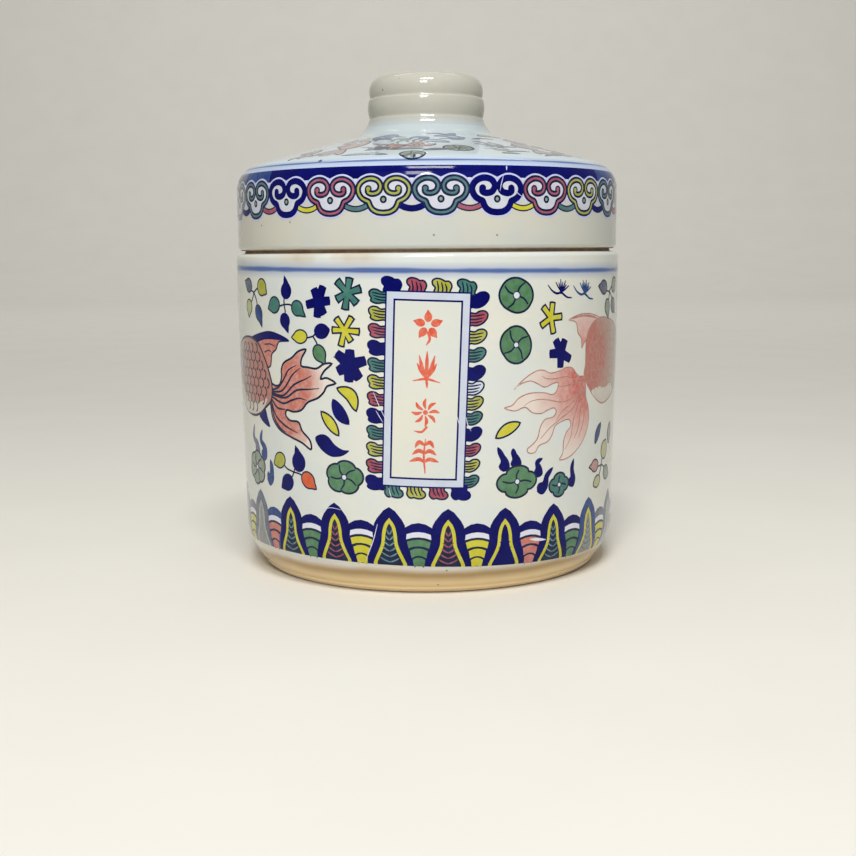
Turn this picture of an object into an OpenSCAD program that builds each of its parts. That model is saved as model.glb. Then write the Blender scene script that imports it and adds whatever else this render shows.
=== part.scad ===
// Lidded porcelain biscuit jar: a straight jar with a raised neck, a cap lid that
// slips over the neck, and a hollow ring knob luted to the crown of the lid.
// The origin is the centre of the foot ring, on the table, with +Z up. Millimetres.

/* [Jar] */
// Outside radius of the jar at its widest, under the shoulder
jar_r = 56; // [50:0.5:64]
// Height of the shoulder above the table
jar_h = 90.8; // [80:0.2:120]
// How much narrower the wall is at the heel than at the shoulder
wall_taper = 1.4; // [0:0.2:4]
// Height of the straight band between the taper and the shoulder
straight_h = 14; // [8:0.5:20]
// Thickness of the jar's wall
jar_wall = 4; // [3:0.25:6]
// Thickness of the jar's floor
floor_t = 4; // [3:0.25:6]
// Thickness of the jar's shoulder, where the neck stands on it
shoulder_t = 4.2; // [3:0.1:5]
// Rounding of the outer edges that face each other across the lid joint
joint_edge_r = 1.4; // [0.6:0.1:1.6]

/* [Foot] */
// How far the foot ring stands in from the foot of the wall
foot_inset = 5.7; // [4.4:0.1:9]
// Width of the foot ring on the table
foot_w = 5; // [4:0.25:7]
// Height of the foot ring's outer side
foot_h = 2.2; // [1.8:0.1:4.5]
// How far the foot ring's side leans out from the table to the heel
foot_lean = 0.8; // [0.4:0.1:1.4]
// Width of the ledge between the foot ring and the heel
foot_ledge = 0.4; // [0.2:0.1:0.8]
// Depth of the recess inside the foot ring
recess_h = 3; // [2:0.25:4]
// Radius of the heel, where the wall turns in to the foot
heel_r = 16.5; // [12:0.5:20]

/* [Neck and seat] */
// Height of the neck above the seat
neck_h = 9; // [6:0.5:12]
// Thickness of the neck
neck_wall = 3.2; // [2.6:0.1:4]
// Radial clearance between the neck and the lid's skirt
neck_gap = 0.8; // [0.4:0.1:1.2]
// Height of the raised, unglazed seat above the shoulder
seat_rise = 0.8; // [0.5:0.1:1.2]
// Width of the seat that the skirt of the lid stands on
seat_w = 1.9; // [1.4:0.1:2]

/* [Lid] */
// How far the lid's skirt stands in from the widest part of the jar
lid_inset = 0.6; // [0:0.1:0.8]
// Thickness of the lid
lid_wall = 4; // [3.8:0.1:5]
// Height of the straight part of the skirt
skirt_h = 17.2; // [14:0.2:24]
// Radius of the shoulder between the skirt and the crown
lid_shoulder_r = 7.4; // [5:0.2:9]
// Slope of the crown, in degrees
crown_slope = 15; // [12:0.5:20]
// Width of the curved collar round the knob
collar_w = 4.4; // [3:0.2:8]
// Rise of the collar that carries the knob
collar_rise = 3.2; // [1.5:0.1:4]

/* [Knob] */
// Outside radius of the knob at its middle roll
knob_r = 17; // [14:0.1:20]
// How far the knob's flared foot stands out past the middle roll
knob_flare = 0.9; // [0.2:0.1:1.5]
// How far the top roll stands in from the middle roll
top_roll_inset = 0.4; // [0:0.05:0.6]
// Thickness of the knob's wall at its rim
knob_wall = 5.4; // [4.8:0.1:6.5]
// Height of the flared roll at the bottom of the knob
flare_roll_h = 3.2; // [2:0.1:4]
// Height of the middle roll
middle_roll_h = 5.7; // [4:0.1:8]
// Height of the top roll, rounding included
top_roll_h = 6.2; // [5.6:0.1:9]
// Depth of the grooves between the rolls
groove_d = 0.45; // [0.2:0.05:0.6]
// Radius of the knob's outer top edge
knob_edge_r = 4.4; // [3:0.1:4.6]
// Thickness of the floor inside the knob
knob_floor_t = 3; // [2:0.25:4]

/* [Hidden] */
$fn = 96;

glaze = [0.86, 0.86, 0.82];
knob_glaze = [0.78, 0.77, 0.71];

// Jar, from the table up
low_r = jar_r - wall_taper;
foot_r = low_r - foot_inset;
foot_in_r = foot_r - foot_w;
foot_top_r = foot_r + foot_lean;
foot_edge_r = 0.8;
foot_lip_h = 0.3;
recess_fillet_r = 1.2;
// The heel comes down on the outer edge of the foot ring's ledge
heel_x = low_r - heel_r;
heel_angle = acos((foot_top_r + foot_ledge - heel_x) / heel_r);
heel_z = foot_h + heel_r * sin(heel_angle);
taper_top_z = jar_h - straight_h;
floor_z = recess_h + floor_t;
inner_low_r = low_r - jar_wall;
floor_fillet_r = 8;

// Neck and seat
lid_r = jar_r - lid_inset;
lid_in_r = lid_r - lid_wall;
neck_r = lid_in_r - neck_gap;
neck_in_r = neck_r - neck_wall;
// The neck's top is rounded on both sides, up to nearly half of its wall
neck_edge_r = min(1.4, 0.45 * neck_wall);
seat_r = lid_in_r + seat_w;
seat_z = jar_h + seat_rise;
seat_slope_w = 0.3;
neck_top_z = seat_z + neck_h;
shoulder_in_r = jar_r - jar_wall;
shoulder_z = jar_h - shoulder_t;
shoulder_slope = 42;
shoulder_low_z = shoulder_z - (shoulder_in_r - neck_in_r) * tan(shoulder_slope);

// Lid, from the seat up
skirt_top_z = seat_z + skirt_h;
skirt_chamfer = 0.5;
crown_arc = 90 - crown_slope;
crown_r = lid_r - lid_shoulder_r * (1 - cos(crown_arc));
crown_z = skirt_top_z + lid_shoulder_r * sin(crown_arc);
knob_foot_r = knob_r + knob_flare;
collar_r = knob_foot_r + collar_w;
collar_z = crown_z + (crown_r - collar_r) * tan(crown_slope);
collar_sag = 0.6;
knob_z = collar_z + collar_rise;
// The inner cone lies one wall below the crown, measured square to its slope
ceiling_flat_inset = 2;
ceiling_flat_r = knob_foot_r - ceiling_flat_inset;
ceiling_fillet_r = 3;
ceiling_fillet_x = lid_in_r - ceiling_fillet_r;
ceiling_fillet_z = ceiling_at(ceiling_fillet_x) - ceiling_fillet_r / cos(crown_slope);
function ceiling_at(r) = crown_z + (crown_r - r) * tan(crown_slope) - lid_wall / cos(crown_slope);

// Knob, from its foot up
groove_r = knob_r - groove_d;
top_roll_r = knob_r - top_roll_inset;
flare_sag = 0.15;
flare_top_z = knob_z + flare_roll_h;
middle_top_z = flare_top_z + middle_roll_h;
groove_lip_h = 1;
knob_top_z = middle_top_z + top_roll_h;
well_r = top_roll_r - knob_wall;
well_lip_r = knob_wall - knob_edge_r;
well_floor_z = knob_z + knob_floor_t;
well_fillet_r = 2;

// Points of an arc about c, from angle a0 to a1
function arc(c, r, a0, a1, n = 8) =
    [for (i = [0:n]) let (a = a0 + (a1 - a0) * i / n) c + r * [cos(a), sin(a)]];

// Points of a shallow bow from p to q that stands out by b at its middle, to the right of p-q
function bow(p, q, b, n = 8) =
    let (d = q - p, side = [d[1], -d[0]] / norm(d))
    [for (i = [0:n]) let (t = i / n) p + d * t + side * 4 * b * t * (1 - t)];

// The jar: foot ring, heel, tapered wall, shoulder, raised seat and neck in one piece
module jar_body() {
    foot = concat(
        [[0, recess_h]],
        arc([foot_in_r - recess_fillet_r, recess_h - recess_fillet_r], recess_fillet_r, 90, 0, 4),
        arc([foot_in_r + foot_edge_r, foot_edge_r], foot_edge_r, 180, 270, 4),
        arc([foot_r - foot_edge_r, foot_edge_r], foot_edge_r, 270, 345, 4),
        [[foot_top_r, foot_h - foot_lip_h]]);
    outside = concat(
        arc([heel_x, heel_z], heel_r, -heel_angle, 0, 12),
        [[jar_r, taper_top_z]],
        arc([jar_r - joint_edge_r, jar_h - joint_edge_r], joint_edge_r, 0, 90, 6));
    neck = concat(
        [[seat_r + seat_slope_w, jar_h], [seat_r, seat_z], [neck_r, seat_z]],
        arc([neck_r - neck_edge_r, neck_top_z - neck_edge_r], neck_edge_r, 0, 90, 5),
        arc([neck_in_r + neck_edge_r, neck_top_z - neck_edge_r], neck_edge_r, 90, 180, 5));
    inside = concat(
        [[neck_in_r, shoulder_z], [shoulder_in_r, shoulder_low_z]],
        arc([inner_low_r - floor_fillet_r, floor_z + floor_fillet_r], floor_fillet_r, 0, -90, 8),
        [[0, floor_z]]);
    color(glaze)
        rotate_extrude()
            polygon(concat(foot, outside, neck, inside));
}

// The lid: a deep skirt, a rounded shoulder and a conical crown that ends in the knob's collar
module lid() {
    outside = concat(
        [[lid_in_r + skirt_chamfer, seat_z]],
        arc([lid_r - joint_edge_r, seat_z + joint_edge_r], joint_edge_r, 270, 360, 6),
        arc([lid_r - lid_shoulder_r, skirt_top_z], lid_shoulder_r, 0, crown_arc, 10),
        bow([collar_r, collar_z], [knob_foot_r, knob_z], -collar_sag, 6),
        [[0, knob_z]]);
    inside = concat(
        [[0, ceiling_at(ceiling_flat_r)], [ceiling_flat_r, ceiling_at(ceiling_flat_r)]],
        arc([ceiling_fillet_x, ceiling_fillet_z], ceiling_fillet_r, crown_arc, 0, 6),
        [[lid_in_r, seat_z + skirt_chamfer]]);
    color(glaze)
        rotate_extrude()
            polygon(concat(outside, inside));
}

// The knob: a hollow ring of three thrown rolls with a rounded rim
module lid_knob() {
    outside = concat(
        [[0, knob_z]],
        bow([knob_foot_r, knob_z], [groove_r, flare_top_z], -flare_sag, 5),
        bow([groove_r, flare_top_z], [groove_r, middle_top_z], groove_d, 8),
        [[top_roll_r, middle_top_z + groove_lip_h]],
        arc([top_roll_r - knob_edge_r, knob_top_z - knob_edge_r], knob_edge_r, 0, 90, 8));
    well = concat(
        arc([well_r + well_lip_r, knob_top_z - well_lip_r], well_lip_r, 90, 180, 5),
        arc([well_r - well_fillet_r, well_floor_z + well_fillet_r], well_fillet_r, 0, -90, 5),
        [[0, well_floor_z]]);
    color(knob_glaze)
        rotate_extrude()
            polygon(concat(outside, well));
}

jar_body();
lid();
lid_knob();
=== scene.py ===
import math

import bmesh
import bpy
import numpy as np
from mathutils import Euler, Matrix, Vector
from mathutils.geometry import delaunay_2d_cdt

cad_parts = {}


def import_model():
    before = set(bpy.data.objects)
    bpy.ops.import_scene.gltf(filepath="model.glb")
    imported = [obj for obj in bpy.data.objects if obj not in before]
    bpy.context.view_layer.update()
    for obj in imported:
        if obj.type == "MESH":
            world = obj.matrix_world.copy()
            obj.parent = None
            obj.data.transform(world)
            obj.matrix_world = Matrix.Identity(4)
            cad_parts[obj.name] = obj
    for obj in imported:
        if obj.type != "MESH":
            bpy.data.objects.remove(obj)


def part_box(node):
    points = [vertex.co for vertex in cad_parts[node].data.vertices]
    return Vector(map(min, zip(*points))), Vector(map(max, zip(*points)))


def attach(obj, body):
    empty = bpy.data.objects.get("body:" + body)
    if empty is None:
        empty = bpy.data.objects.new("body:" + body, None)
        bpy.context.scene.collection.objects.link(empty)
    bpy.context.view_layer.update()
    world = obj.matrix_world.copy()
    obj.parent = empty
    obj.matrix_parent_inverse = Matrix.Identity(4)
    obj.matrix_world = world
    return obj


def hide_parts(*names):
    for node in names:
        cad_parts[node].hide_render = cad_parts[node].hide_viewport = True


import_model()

# A lidded porcelain jar: the jar, its cap lid and its ring knob are turned as a potter turns them,
# and the painted decoration is cut as thin enamel that is laid on the wall, the skirt and the crown.
# Lengths are in millimetres until they go into a mesh. "s" runs round the jar from its front.

MM = 0.001
TAU = 2 * math.pi
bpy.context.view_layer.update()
bpy.ops.object.select_all(action="DESELECT")


# ---------------------------------------------------------------- sizes, as the frame has them
JAR_LOW, JAR_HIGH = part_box("jar_body")
LID_LOW, LID_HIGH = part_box("lid")
KNOB_LOW, KNOB_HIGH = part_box("lid_knob")

JAR_R = round(JAR_HIGH.x / MM, 2)
NECK_TOP = JAR_HIGH.z / MM
LID_R = round(LID_HIGH.x / MM, 2)
SEAT_Z = LID_LOW.z / MM
KNOB_Z = KNOB_LOW.z / MM
KNOB_TOP = KNOB_HIGH.z / MM
KNOB_FOOT_R = round(KNOB_HIGH.x / MM, 2)

SEAT_RISE = 0.8
JAR_H = SEAT_Z - SEAT_RISE
WALL_TAPER = 1.4
STRAIGHT_H = 14
JAR_WALL = 4
JOINT_EDGE = 1.4
FLOOR_T = 4
FLOOR_FILLET = 8
SHOULDER_T = 4.2
SHOULDER_SLOPE = 42

FOOT_INSET = 5.7
FOOT_W = 5
FOOT_H = 2.2
FOOT_LEAN = 0.8
FOOT_LEDGE = 0.4
FOOT_EDGE = 0.8
RECESS_H = 3
RECESS_FILLET = 1.2
HEEL_R = 16.5

LID_WALL = 4
NECK_GAP = 0.8
NECK_WALL = 3.2
NECK_EDGE = 1.4
SEAT_W = 1.9
SEAT_SLOPE = 0.3
SKIRT_H = 17.2
SKIRT_CHAMFER = 0.5
LID_SHOULDER_R = 7.4
CROWN_SLOPE = 15
COLLAR_W = 4.4
COLLAR_SAG = 0.6
CEILING_INSET = 2
CEILING_FILLET = 3

KNOB_FLARE = 0.9
GROOVE_D = 0.45
TOP_ROLL_INSET = 0.4
KNOB_WALL = 5.4
KNOB_EDGE = 4.4
FLARE_ROLL_H = 3.2
FLARE_SAG = 0.15
MIDDLE_ROLL_H = 5.7
GROOVE_LIP_H = 1
KNOB_FLOOR_T = 3
WELL_FILLET = 2

LOW_R = JAR_R - WALL_TAPER
TAPER_TOP = JAR_H - STRAIGHT_H
FOOT_R = LOW_R - FOOT_INSET
HEEL_X = LOW_R - HEEL_R
HEEL_ANGLE = math.degrees(math.acos((FOOT_R + FOOT_LEAN + FOOT_LEDGE - HEEL_X) / HEEL_R))
HEEL_Z = FOOT_H + HEEL_R * math.sin(math.radians(HEEL_ANGLE))
FLOOR_Z = RECESS_H + FLOOR_T
LID_IN_R = LID_R - LID_WALL
NECK_R = LID_IN_R - NECK_GAP
NECK_IN_R = NECK_R - NECK_WALL
SEAT_R = LID_IN_R + SEAT_W

SKIRT_TOP = SEAT_Z + SKIRT_H
SHOULDER_X = LID_R - LID_SHOULDER_R
CROWN_ARC = 90 - CROWN_SLOPE
CROWN_R = SHOULDER_X + LID_SHOULDER_R * math.cos(math.radians(CROWN_ARC))
CROWN_Z = SKIRT_TOP + LID_SHOULDER_R * math.sin(math.radians(CROWN_ARC))
CROWN_TAN = math.tan(math.radians(CROWN_SLOPE))
CROWN_COS = math.cos(math.radians(CROWN_SLOPE))
COLLAR_R = KNOB_FOOT_R + COLLAR_W
CEILING_R = KNOB_FOOT_R - CEILING_INSET

KNOB_R = KNOB_FOOT_R - KNOB_FLARE
GROOVE_R = KNOB_R - GROOVE_D
TOP_ROLL_R = KNOB_R - TOP_ROLL_INSET
FLARE_TOP = KNOB_Z + FLARE_ROLL_H
MIDDLE_TOP = FLARE_TOP + MIDDLE_ROLL_H
WELL_FLOOR = KNOB_Z + KNOB_FLOOR_T

TURN_STEPS = 320
PROFILE_STEP = 4


# ---------------------------------------------------------------- drawing in the flat
def arc(cx, cy, r, start, end, n=12):
    """Points of an arc, angles in degrees."""
    turn = [math.radians(start + (end - start) * i / n) for i in range(n + 1)]
    return [(cx + r * math.cos(a), cy + r * math.sin(a)) for a in turn]


def bow(p, q, swell, n=8):
    """Points of a shallow curve from p to q that stands out by swell, to the right of p-q."""
    dx, dy = q[0] - p[0], q[1] - p[1]
    length = math.hypot(dx, dy)
    out = []
    for i in range(n + 1):
        t = i / n
        side = 4 * swell * t * (1 - t) / length
        out.append((p[0] + dx * t + dy * side, p[1] + dy * t - dx * side))
    return out


def smooth(points, closed=True, n=5):
    """A soft curve through drawn points."""
    p = np.array(points, float)
    if closed:
        ring = np.vstack([p[-1], p, p[0], p[1]])
    else:
        ring = np.vstack([2 * p[0] - p[1], p, 2 * p[-1] - p[-2]])
    out = []
    for a, b, c, d in zip(ring, ring[1:], ring[2:], ring[3:]):
        for i in range(n):
            t = i / n
            square = (2 * a - 5 * b + 4 * c - d) * t**2
            cube = (3 * b - a - 3 * c + d) * t**3
            out.append(0.5 * (2 * b + (c - a) * t + square + cube))
    if not closed:
        out.append(p[-1])
    return np.array(out)


def sides(path, closed):
    """The direction square to a path at each of its points, to the right of the way it runs."""
    p = np.array(path, float)
    before = np.roll(p, 1, 0)
    after = np.roll(p, -1, 0)
    if not closed:
        before[0] = p[0]
        after[-1] = p[-1]
    a = p - before
    b = after - p
    a /= np.maximum(np.linalg.norm(a, axis=1, keepdims=True), 1e-9)
    b /= np.maximum(np.linalg.norm(b, axis=1, keepdims=True), 1e-9)
    way = a + b
    size = np.linalg.norm(way, axis=1, keepdims=True)
    way /= np.maximum(size, 1e-9)
    miter = 2 / np.clip(size, 1.2, 2)
    if not closed:
        miter[0] = miter[-1] = 1
    return np.stack([way[:, 1], -way[:, 0]], 1) * miter


def grow(outline, by):
    """The outline moved out by a distance, or in where it is negative."""
    p = np.array(outline, float)
    area = np.sum(p[:, 0] * np.roll(p[:, 1], -1) - np.roll(p[:, 0], -1) * p[:, 1])
    return p + sides(p, True) * by * (1 if area > 0 else -1)


def stroke(path, width, thin_start=1.0, thin_end=1.0):
    """The outline of a brush line, which may thin over the last third towards either end."""
    p = np.array(path, float)
    along = np.concatenate([[0], np.cumsum(np.linalg.norm(np.diff(p, axis=0), axis=1))])
    t = along / along[-1]
    half = 0.5 * width * np.minimum(
        1, np.minimum(thin_start + (1 - thin_start) * t * 3, thin_end + (1 - thin_end) * (1 - t) * 3)
    )
    off = sides(p, False) * half[:, None]
    way_in = (p[0] - p[1]) / np.linalg.norm(p[0] - p[1]) * half[0]
    way_out = (p[-1] - p[-2]) / np.linalg.norm(p[-1] - p[-2]) * half[-1]
    return np.vstack([p + off, [p[-1] + way_out], (p - off)[::-1], [p[0] + way_in]])


def line(points, width, thin_start=1.0, thin_end=0.4, n=4):
    """A soft brush line through a few points."""
    return stroke(smooth(points, False, n), width, thin_start, thin_end)


def polar(r, a):
    """A point from its distance and its angle in degrees."""
    return r * math.cos(math.radians(a)), r * math.sin(math.radians(a))


def disc(x, y, rx, ry=None, n=20):
    """The outline of a round or oval spot."""
    ry = rx if ry is None else ry
    return [(x + rx * math.cos(TAU * i / n), y + ry * math.sin(TAU * i / n)) for i in range(n)]


def inked(colour, outline, width=0.5):
    """A colour with an ink line round it."""
    return [("ink", grow(outline, width / 2)), (colour, grow(outline, -width / 2))]


def place(shapes, x=0.0, y=0.0, turn=0.0, size=1.0, flip=False):
    """A motif set down at a place, turned by degrees, scaled and mirrored."""
    a = math.radians(turn)
    m = np.array([[math.cos(a), math.sin(a)], [-math.sin(a), math.cos(a)]]) * size
    mirror = np.array([-1 if flip else 1, 1])
    return [(colour, np.array(p, float) * mirror @ m + (x, y)) for colour, p in shapes]


def filled(colour, outline, width, spread):
    """A colour with an ink line round it. Cobalt has no line, and spreads a little instead."""
    if colour == "cobalt":
        return [("cobalt", grow(outline, spread))]
    return inked(colour, outline, width)


def widened(path, half):
    """The outline of a path that is pointed at both ends, from half its width at each point."""
    off = sides(path, False) * half[:, None]
    return np.vstack([path + off, (path - off)[::-1][1:-1]])


def scattered(*motifs):
    """Motifs set down one after another: each is its shapes and what place needs for them."""
    return [shape for motif in motifs for shape in place(*motif)]


def holds(outline, points):
    """Which points lie inside an outline, by its winding."""
    a = np.array(outline, float)
    b = np.roll(a, -1, 0)
    wind = np.zeros(len(points), int)
    near = np.all((points >= a.min(0)) & (points <= a.max(0)), axis=1)
    p = points[near]
    count = np.zeros(len(p), int)
    for (ax, ay), (bx, by) in zip(a, b):
        left = (bx - ax) * (p[:, 1] - ay) - (p[:, 0] - ax) * (by - ay)
        count += (ay <= p[:, 1]) & (by > p[:, 1]) & (left > 0)
        count -= (ay > p[:, 1]) & (by <= p[:, 1]) & (left < 0)
    wind[near] = count
    return wind != 0


def cut(shapes, grid=2.5, rows=(), keep=None):
    """Cuts a drawing into triangles, each with the colour that lies on top there. Grid lines keep the
    triangles narrow enough to bend, and keep=(low, high) holds it between two places along s."""
    everything = np.vstack([p for _, p in shapes])
    low, high = everything.min(0) - 1, everything.max(0) + 1
    points, edges = [], []
    for _, outline in shapes:
        first, n = len(points), len(outline)
        points += [Vector(p) for p in outline]
        edges += [(first + i, first + (i + 1) % n) for i in range(n)]
    columns = list(np.arange(math.ceil(low[0] / grid) * grid, high[0], grid))
    columns += list(keep) if keep else []
    for x in columns:
        edges.append((len(points), len(points) + 1))
        points += [Vector((x, low[1])), Vector((x, high[1]))]
    for y in rows:
        edges.append((len(points), len(points) + 1))
        points += [Vector((low[0], y)), Vector((high[0], y))]
    spots, _, faces, _, _, _ = delaunay_2d_cdt(points, edges, [], 0, 1e-4)
    spots = np.array([tuple(v) for v in spots])
    faces = np.array(faces)
    centre = spots[faces].mean(1)
    top = np.full(len(faces), -1)
    for k, (_, outline) in enumerate(shapes):
        top[holds(outline, centre)] = k
    seen = top >= 0
    if keep:
        seen &= (centre[:, 0] > keep[0]) & (centre[:, 0] < keep[1])
    names = [shapes[k][0] for k in top[seen]]
    return spots, faces[seen], names


def shifted(sheet, x, exchange, squeeze=1.0):
    """A cut sheet moved along s and narrowed, with some of its colours exchanged."""
    spots, faces, names = sheet
    return spots * (squeeze, 1) + (x, 0), faces, [exchange.get(n, n) for n in names]


# ---------------------------------------------------------------- the forms that the enamel lies on
TAPER = WALL_TAPER / (TAPER_TOP - HEEL_Z)
TAPER_BLEND = 4


def wall_r(z):
    """The jar's outside radius at a height above its heel's start: the taper runs softly into the
    straight band."""
    left = np.clip(TAPER_TOP + TAPER_BLEND - z, 0, 2 * TAPER_BLEND)
    below = np.maximum(TAPER_TOP - TAPER_BLEND - z, 0)
    heel = HEEL_X + np.sqrt(np.maximum(HEEL_R**2 - np.maximum(HEEL_Z - z, 0) ** 2, 0))
    wall = JAR_R - TAPER * left**2 / (4 * TAPER_BLEND) - TAPER * below
    return np.where(z < HEEL_Z, heel, wall)


def on_wall(spots, lift):
    """From the flat drawing to the jar's wall: x is s and y is the height above the table."""
    z = spots[:, 1]
    r = wall_r(z)
    return around(spots[:, 0] / JAR_R, r, z, lift, wall_lean(r, z))


def on_skirt(spots, lift):
    """From the flat drawing to the lid's skirt and its shoulder: y is the way up the outside."""
    up = spots[:, 1] - SKIRT_TOP
    a = np.clip(up / LID_SHOULDER_R, 0, math.radians(CROWN_ARC))
    r = SHOULDER_X + LID_SHOULDER_R * np.cos(a)
    z = SKIRT_TOP + np.where(up < 0, up, LID_SHOULDER_R * np.sin(a))
    return around(spots[:, 0] / JAR_R, r, z, lift, np.stack([np.cos(a), np.sin(a)], 1))


def on_crown(spots, lift):
    """From a drawing in plan to the cone of the lid's crown, and over the edge of its shoulder."""
    r = np.hypot(spots[:, 0], spots[:, 1])
    a = np.arccos(np.clip((r - SHOULDER_X) / LID_SHOULDER_R, 0, 1))
    a = np.minimum(a, math.radians(CROWN_ARC))
    z = np.where(r < CROWN_R, CROWN_Z + (CROWN_R - r) * CROWN_TAN, SKIRT_TOP + LID_SHOULDER_R * np.sin(a))
    lean = np.stack([np.cos(a), np.sin(a)], 1)
    return around(np.arctan2(spots[:, 0], -spots[:, 1]), r, z, lift, lean)


def wall_lean(r, z):
    """The outward direction of the jar's outside, as its radial and upright shares."""
    fall = math.atan(TAPER) * np.clip((TAPER_TOP + TAPER_BLEND - z) / (2 * TAPER_BLEND), 0, 1)
    lean = np.stack([np.cos(fall), -np.sin(fall)], 1)
    below = z < HEEL_Z
    lean[below] = np.stack([r[below] - HEEL_X, z[below] - HEEL_Z], 1) / HEEL_R
    return lean


def around(angle, r, z, lift, lean):
    """Points and outward directions on a turned form."""
    r = r + lift * lean[:, 0]
    z = z + lift * lean[:, 1]
    way = np.stack([np.sin(angle), -np.cos(angle)], 1)
    points = np.column_stack([way * r[:, None], z])
    normals = np.column_stack([way * lean[:, :1], lean[:, 1]])
    return points, normals


# ---------------------------------------------------------------- materials
def shader_tree(name):
    """A new material, with its tree and its surface shader."""
    material = bpy.data.materials.new(name)
    material.use_nodes = True
    tree = material.node_tree
    return material, tree, tree.nodes["Principled BSDF"]


def add(tree, kind, settings=None, **inputs):
    """A node with its settings and its inputs: an input is a value or another node's socket."""
    made = tree.nodes.new("ShaderNode" + kind)
    for key, value in (settings or {}).items():
        setattr(made, key, value)
    for key, value in inputs.items():
        socket = made.inputs[int(key[1:])] if key[0] == "_" else made.inputs[key.replace("_", " ")]
        if isinstance(value, bpy.types.NodeSocket):
            tree.links.new(value, socket)
        else:
            socket.default_value = value
    return made


def place_in_mm(tree):
    """Where a point of the surface is, in millimetres in the row's frame."""
    where = add(tree, "TexCoord")
    scaled = add(tree, "VectorMath", {"operation": "SCALE"}, _0=where.outputs["Object"], _3=1 / MM)
    return scaled.outputs[0]


def noise(tree, where, grain, detail=2.0, rough=0.5):
    """Noise whose grain is given in millimetres."""
    return add(
        tree, "TexNoise", None, Vector=where, Scale=1 / grain, Detail=detail, Roughness=rough
    ).outputs["Fac"]


def ramp(tree, value, low, high, start=0.0, end=1.0):
    """A value from start to end as another goes from low to high."""
    return add(
        tree, "MapRange", {"clamp": True}, Value=value, From_Min=low, From_Max=high, To_Min=start, To_Max=end
    ).outputs[0]


def math_node(tree, operation, a, b=0.0):
    """One step of arithmetic on two values or sockets."""
    return add(tree, "Math", {"operation": operation}, _0=a, _1=b).outputs[0]


def blend_colour(tree, share, under, over, mode="MIX"):
    """Two colours mixed by a share: each is a colour or a socket."""
    made = tree.nodes.new("ShaderNodeMix")
    made.data_type = "RGBA"
    made.blend_type = mode
    for index, value in ((0, share), (6, under), (7, over)):
        if isinstance(value, bpy.types.NodeSocket):
            tree.links.new(value, made.inputs[index])
        elif index == 0:
            made.inputs[0].default_value = value
        else:
            made.inputs[index].default_value = (*value, 1)
    return made.outputs[2]


def glaze_skin(tree, shader, where, gloss=0.05, rub=0.1):
    """The slow swell and the fine orange peel of a fired glaze, and the rub marks on its gloss. The
    glaze and the enamels over it share it, so a highlight runs across both."""
    swell = noise(tree, where, 16, 1.0)
    peel = noise(tree, where, 1.3, 2.0)
    high = add(tree, "Bump", None, Strength=0.25, Distance=0.25 * MM, Height=swell)
    fine = add(tree, "Bump", None, Strength=0.12, Distance=0.015 * MM, Height=peel, Normal=high.outputs[0])
    tree.links.new(fine.outputs[0], shader.inputs["Normal"])
    rubbed = noise(tree, where, 9, 4.0, 0.6)
    tree.links.new(ramp(tree, rubbed, 0.45, 0.8, gloss, gloss + rub), shader.inputs["Roughness"])


def specks(tree, where, cell, size, share):
    """Small dark iron spots, a few to the hand's breadth: 1 on a spot and 0 off it."""
    cells = add(tree, "TexVoronoi", None, Vector=where, Scale=1 / cell)
    spot = ramp(tree, cells.outputs["Distance"], size * 0.6 / cell, size / cell, 1.0, 0.0)
    pick = add(tree, "SeparateColor", None, Color=cells.outputs["Color"]).outputs[0]
    chosen = math_node(tree, "LESS_THAN", pick, share)
    return math_node(tree, "MULTIPLY", spot, chosen)


def along(tree, where):
    """The three coordinates of a place."""
    return add(tree, "SeparateXYZ", None, Vector=where).outputs


def laid(tree, colour, share, tint, strength):
    """A tint over a colour, as much of it as its share and its strength say."""
    return blend_colour(tree, math_node(tree, "MULTIPLY", share, strength), colour, tint)


GLAZE = (0.685, 0.685, 0.605)
GLAZE_COOL = (0.63, 0.665, 0.645)
GLAZE_GREY = (0.575, 0.565, 0.485)
BLUE_LINE = (0.065, 0.12, 0.33)
BLUE_HALO = (0.38, 0.44, 0.56)
FLASH = (0.50, 0.38, 0.25)
IRON = (0.10, 0.07, 0.045)
BISQUE = (0.42, 0.33, 0.23)
# The fire flash fades in and out between these places across the jar, and with its distance from
# the joint
FLASH_LEFT = (-42, -34)
FLASH_RIGHT = (-8, -20)
FLASH_REACH = (0.8, 3.2)


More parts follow.
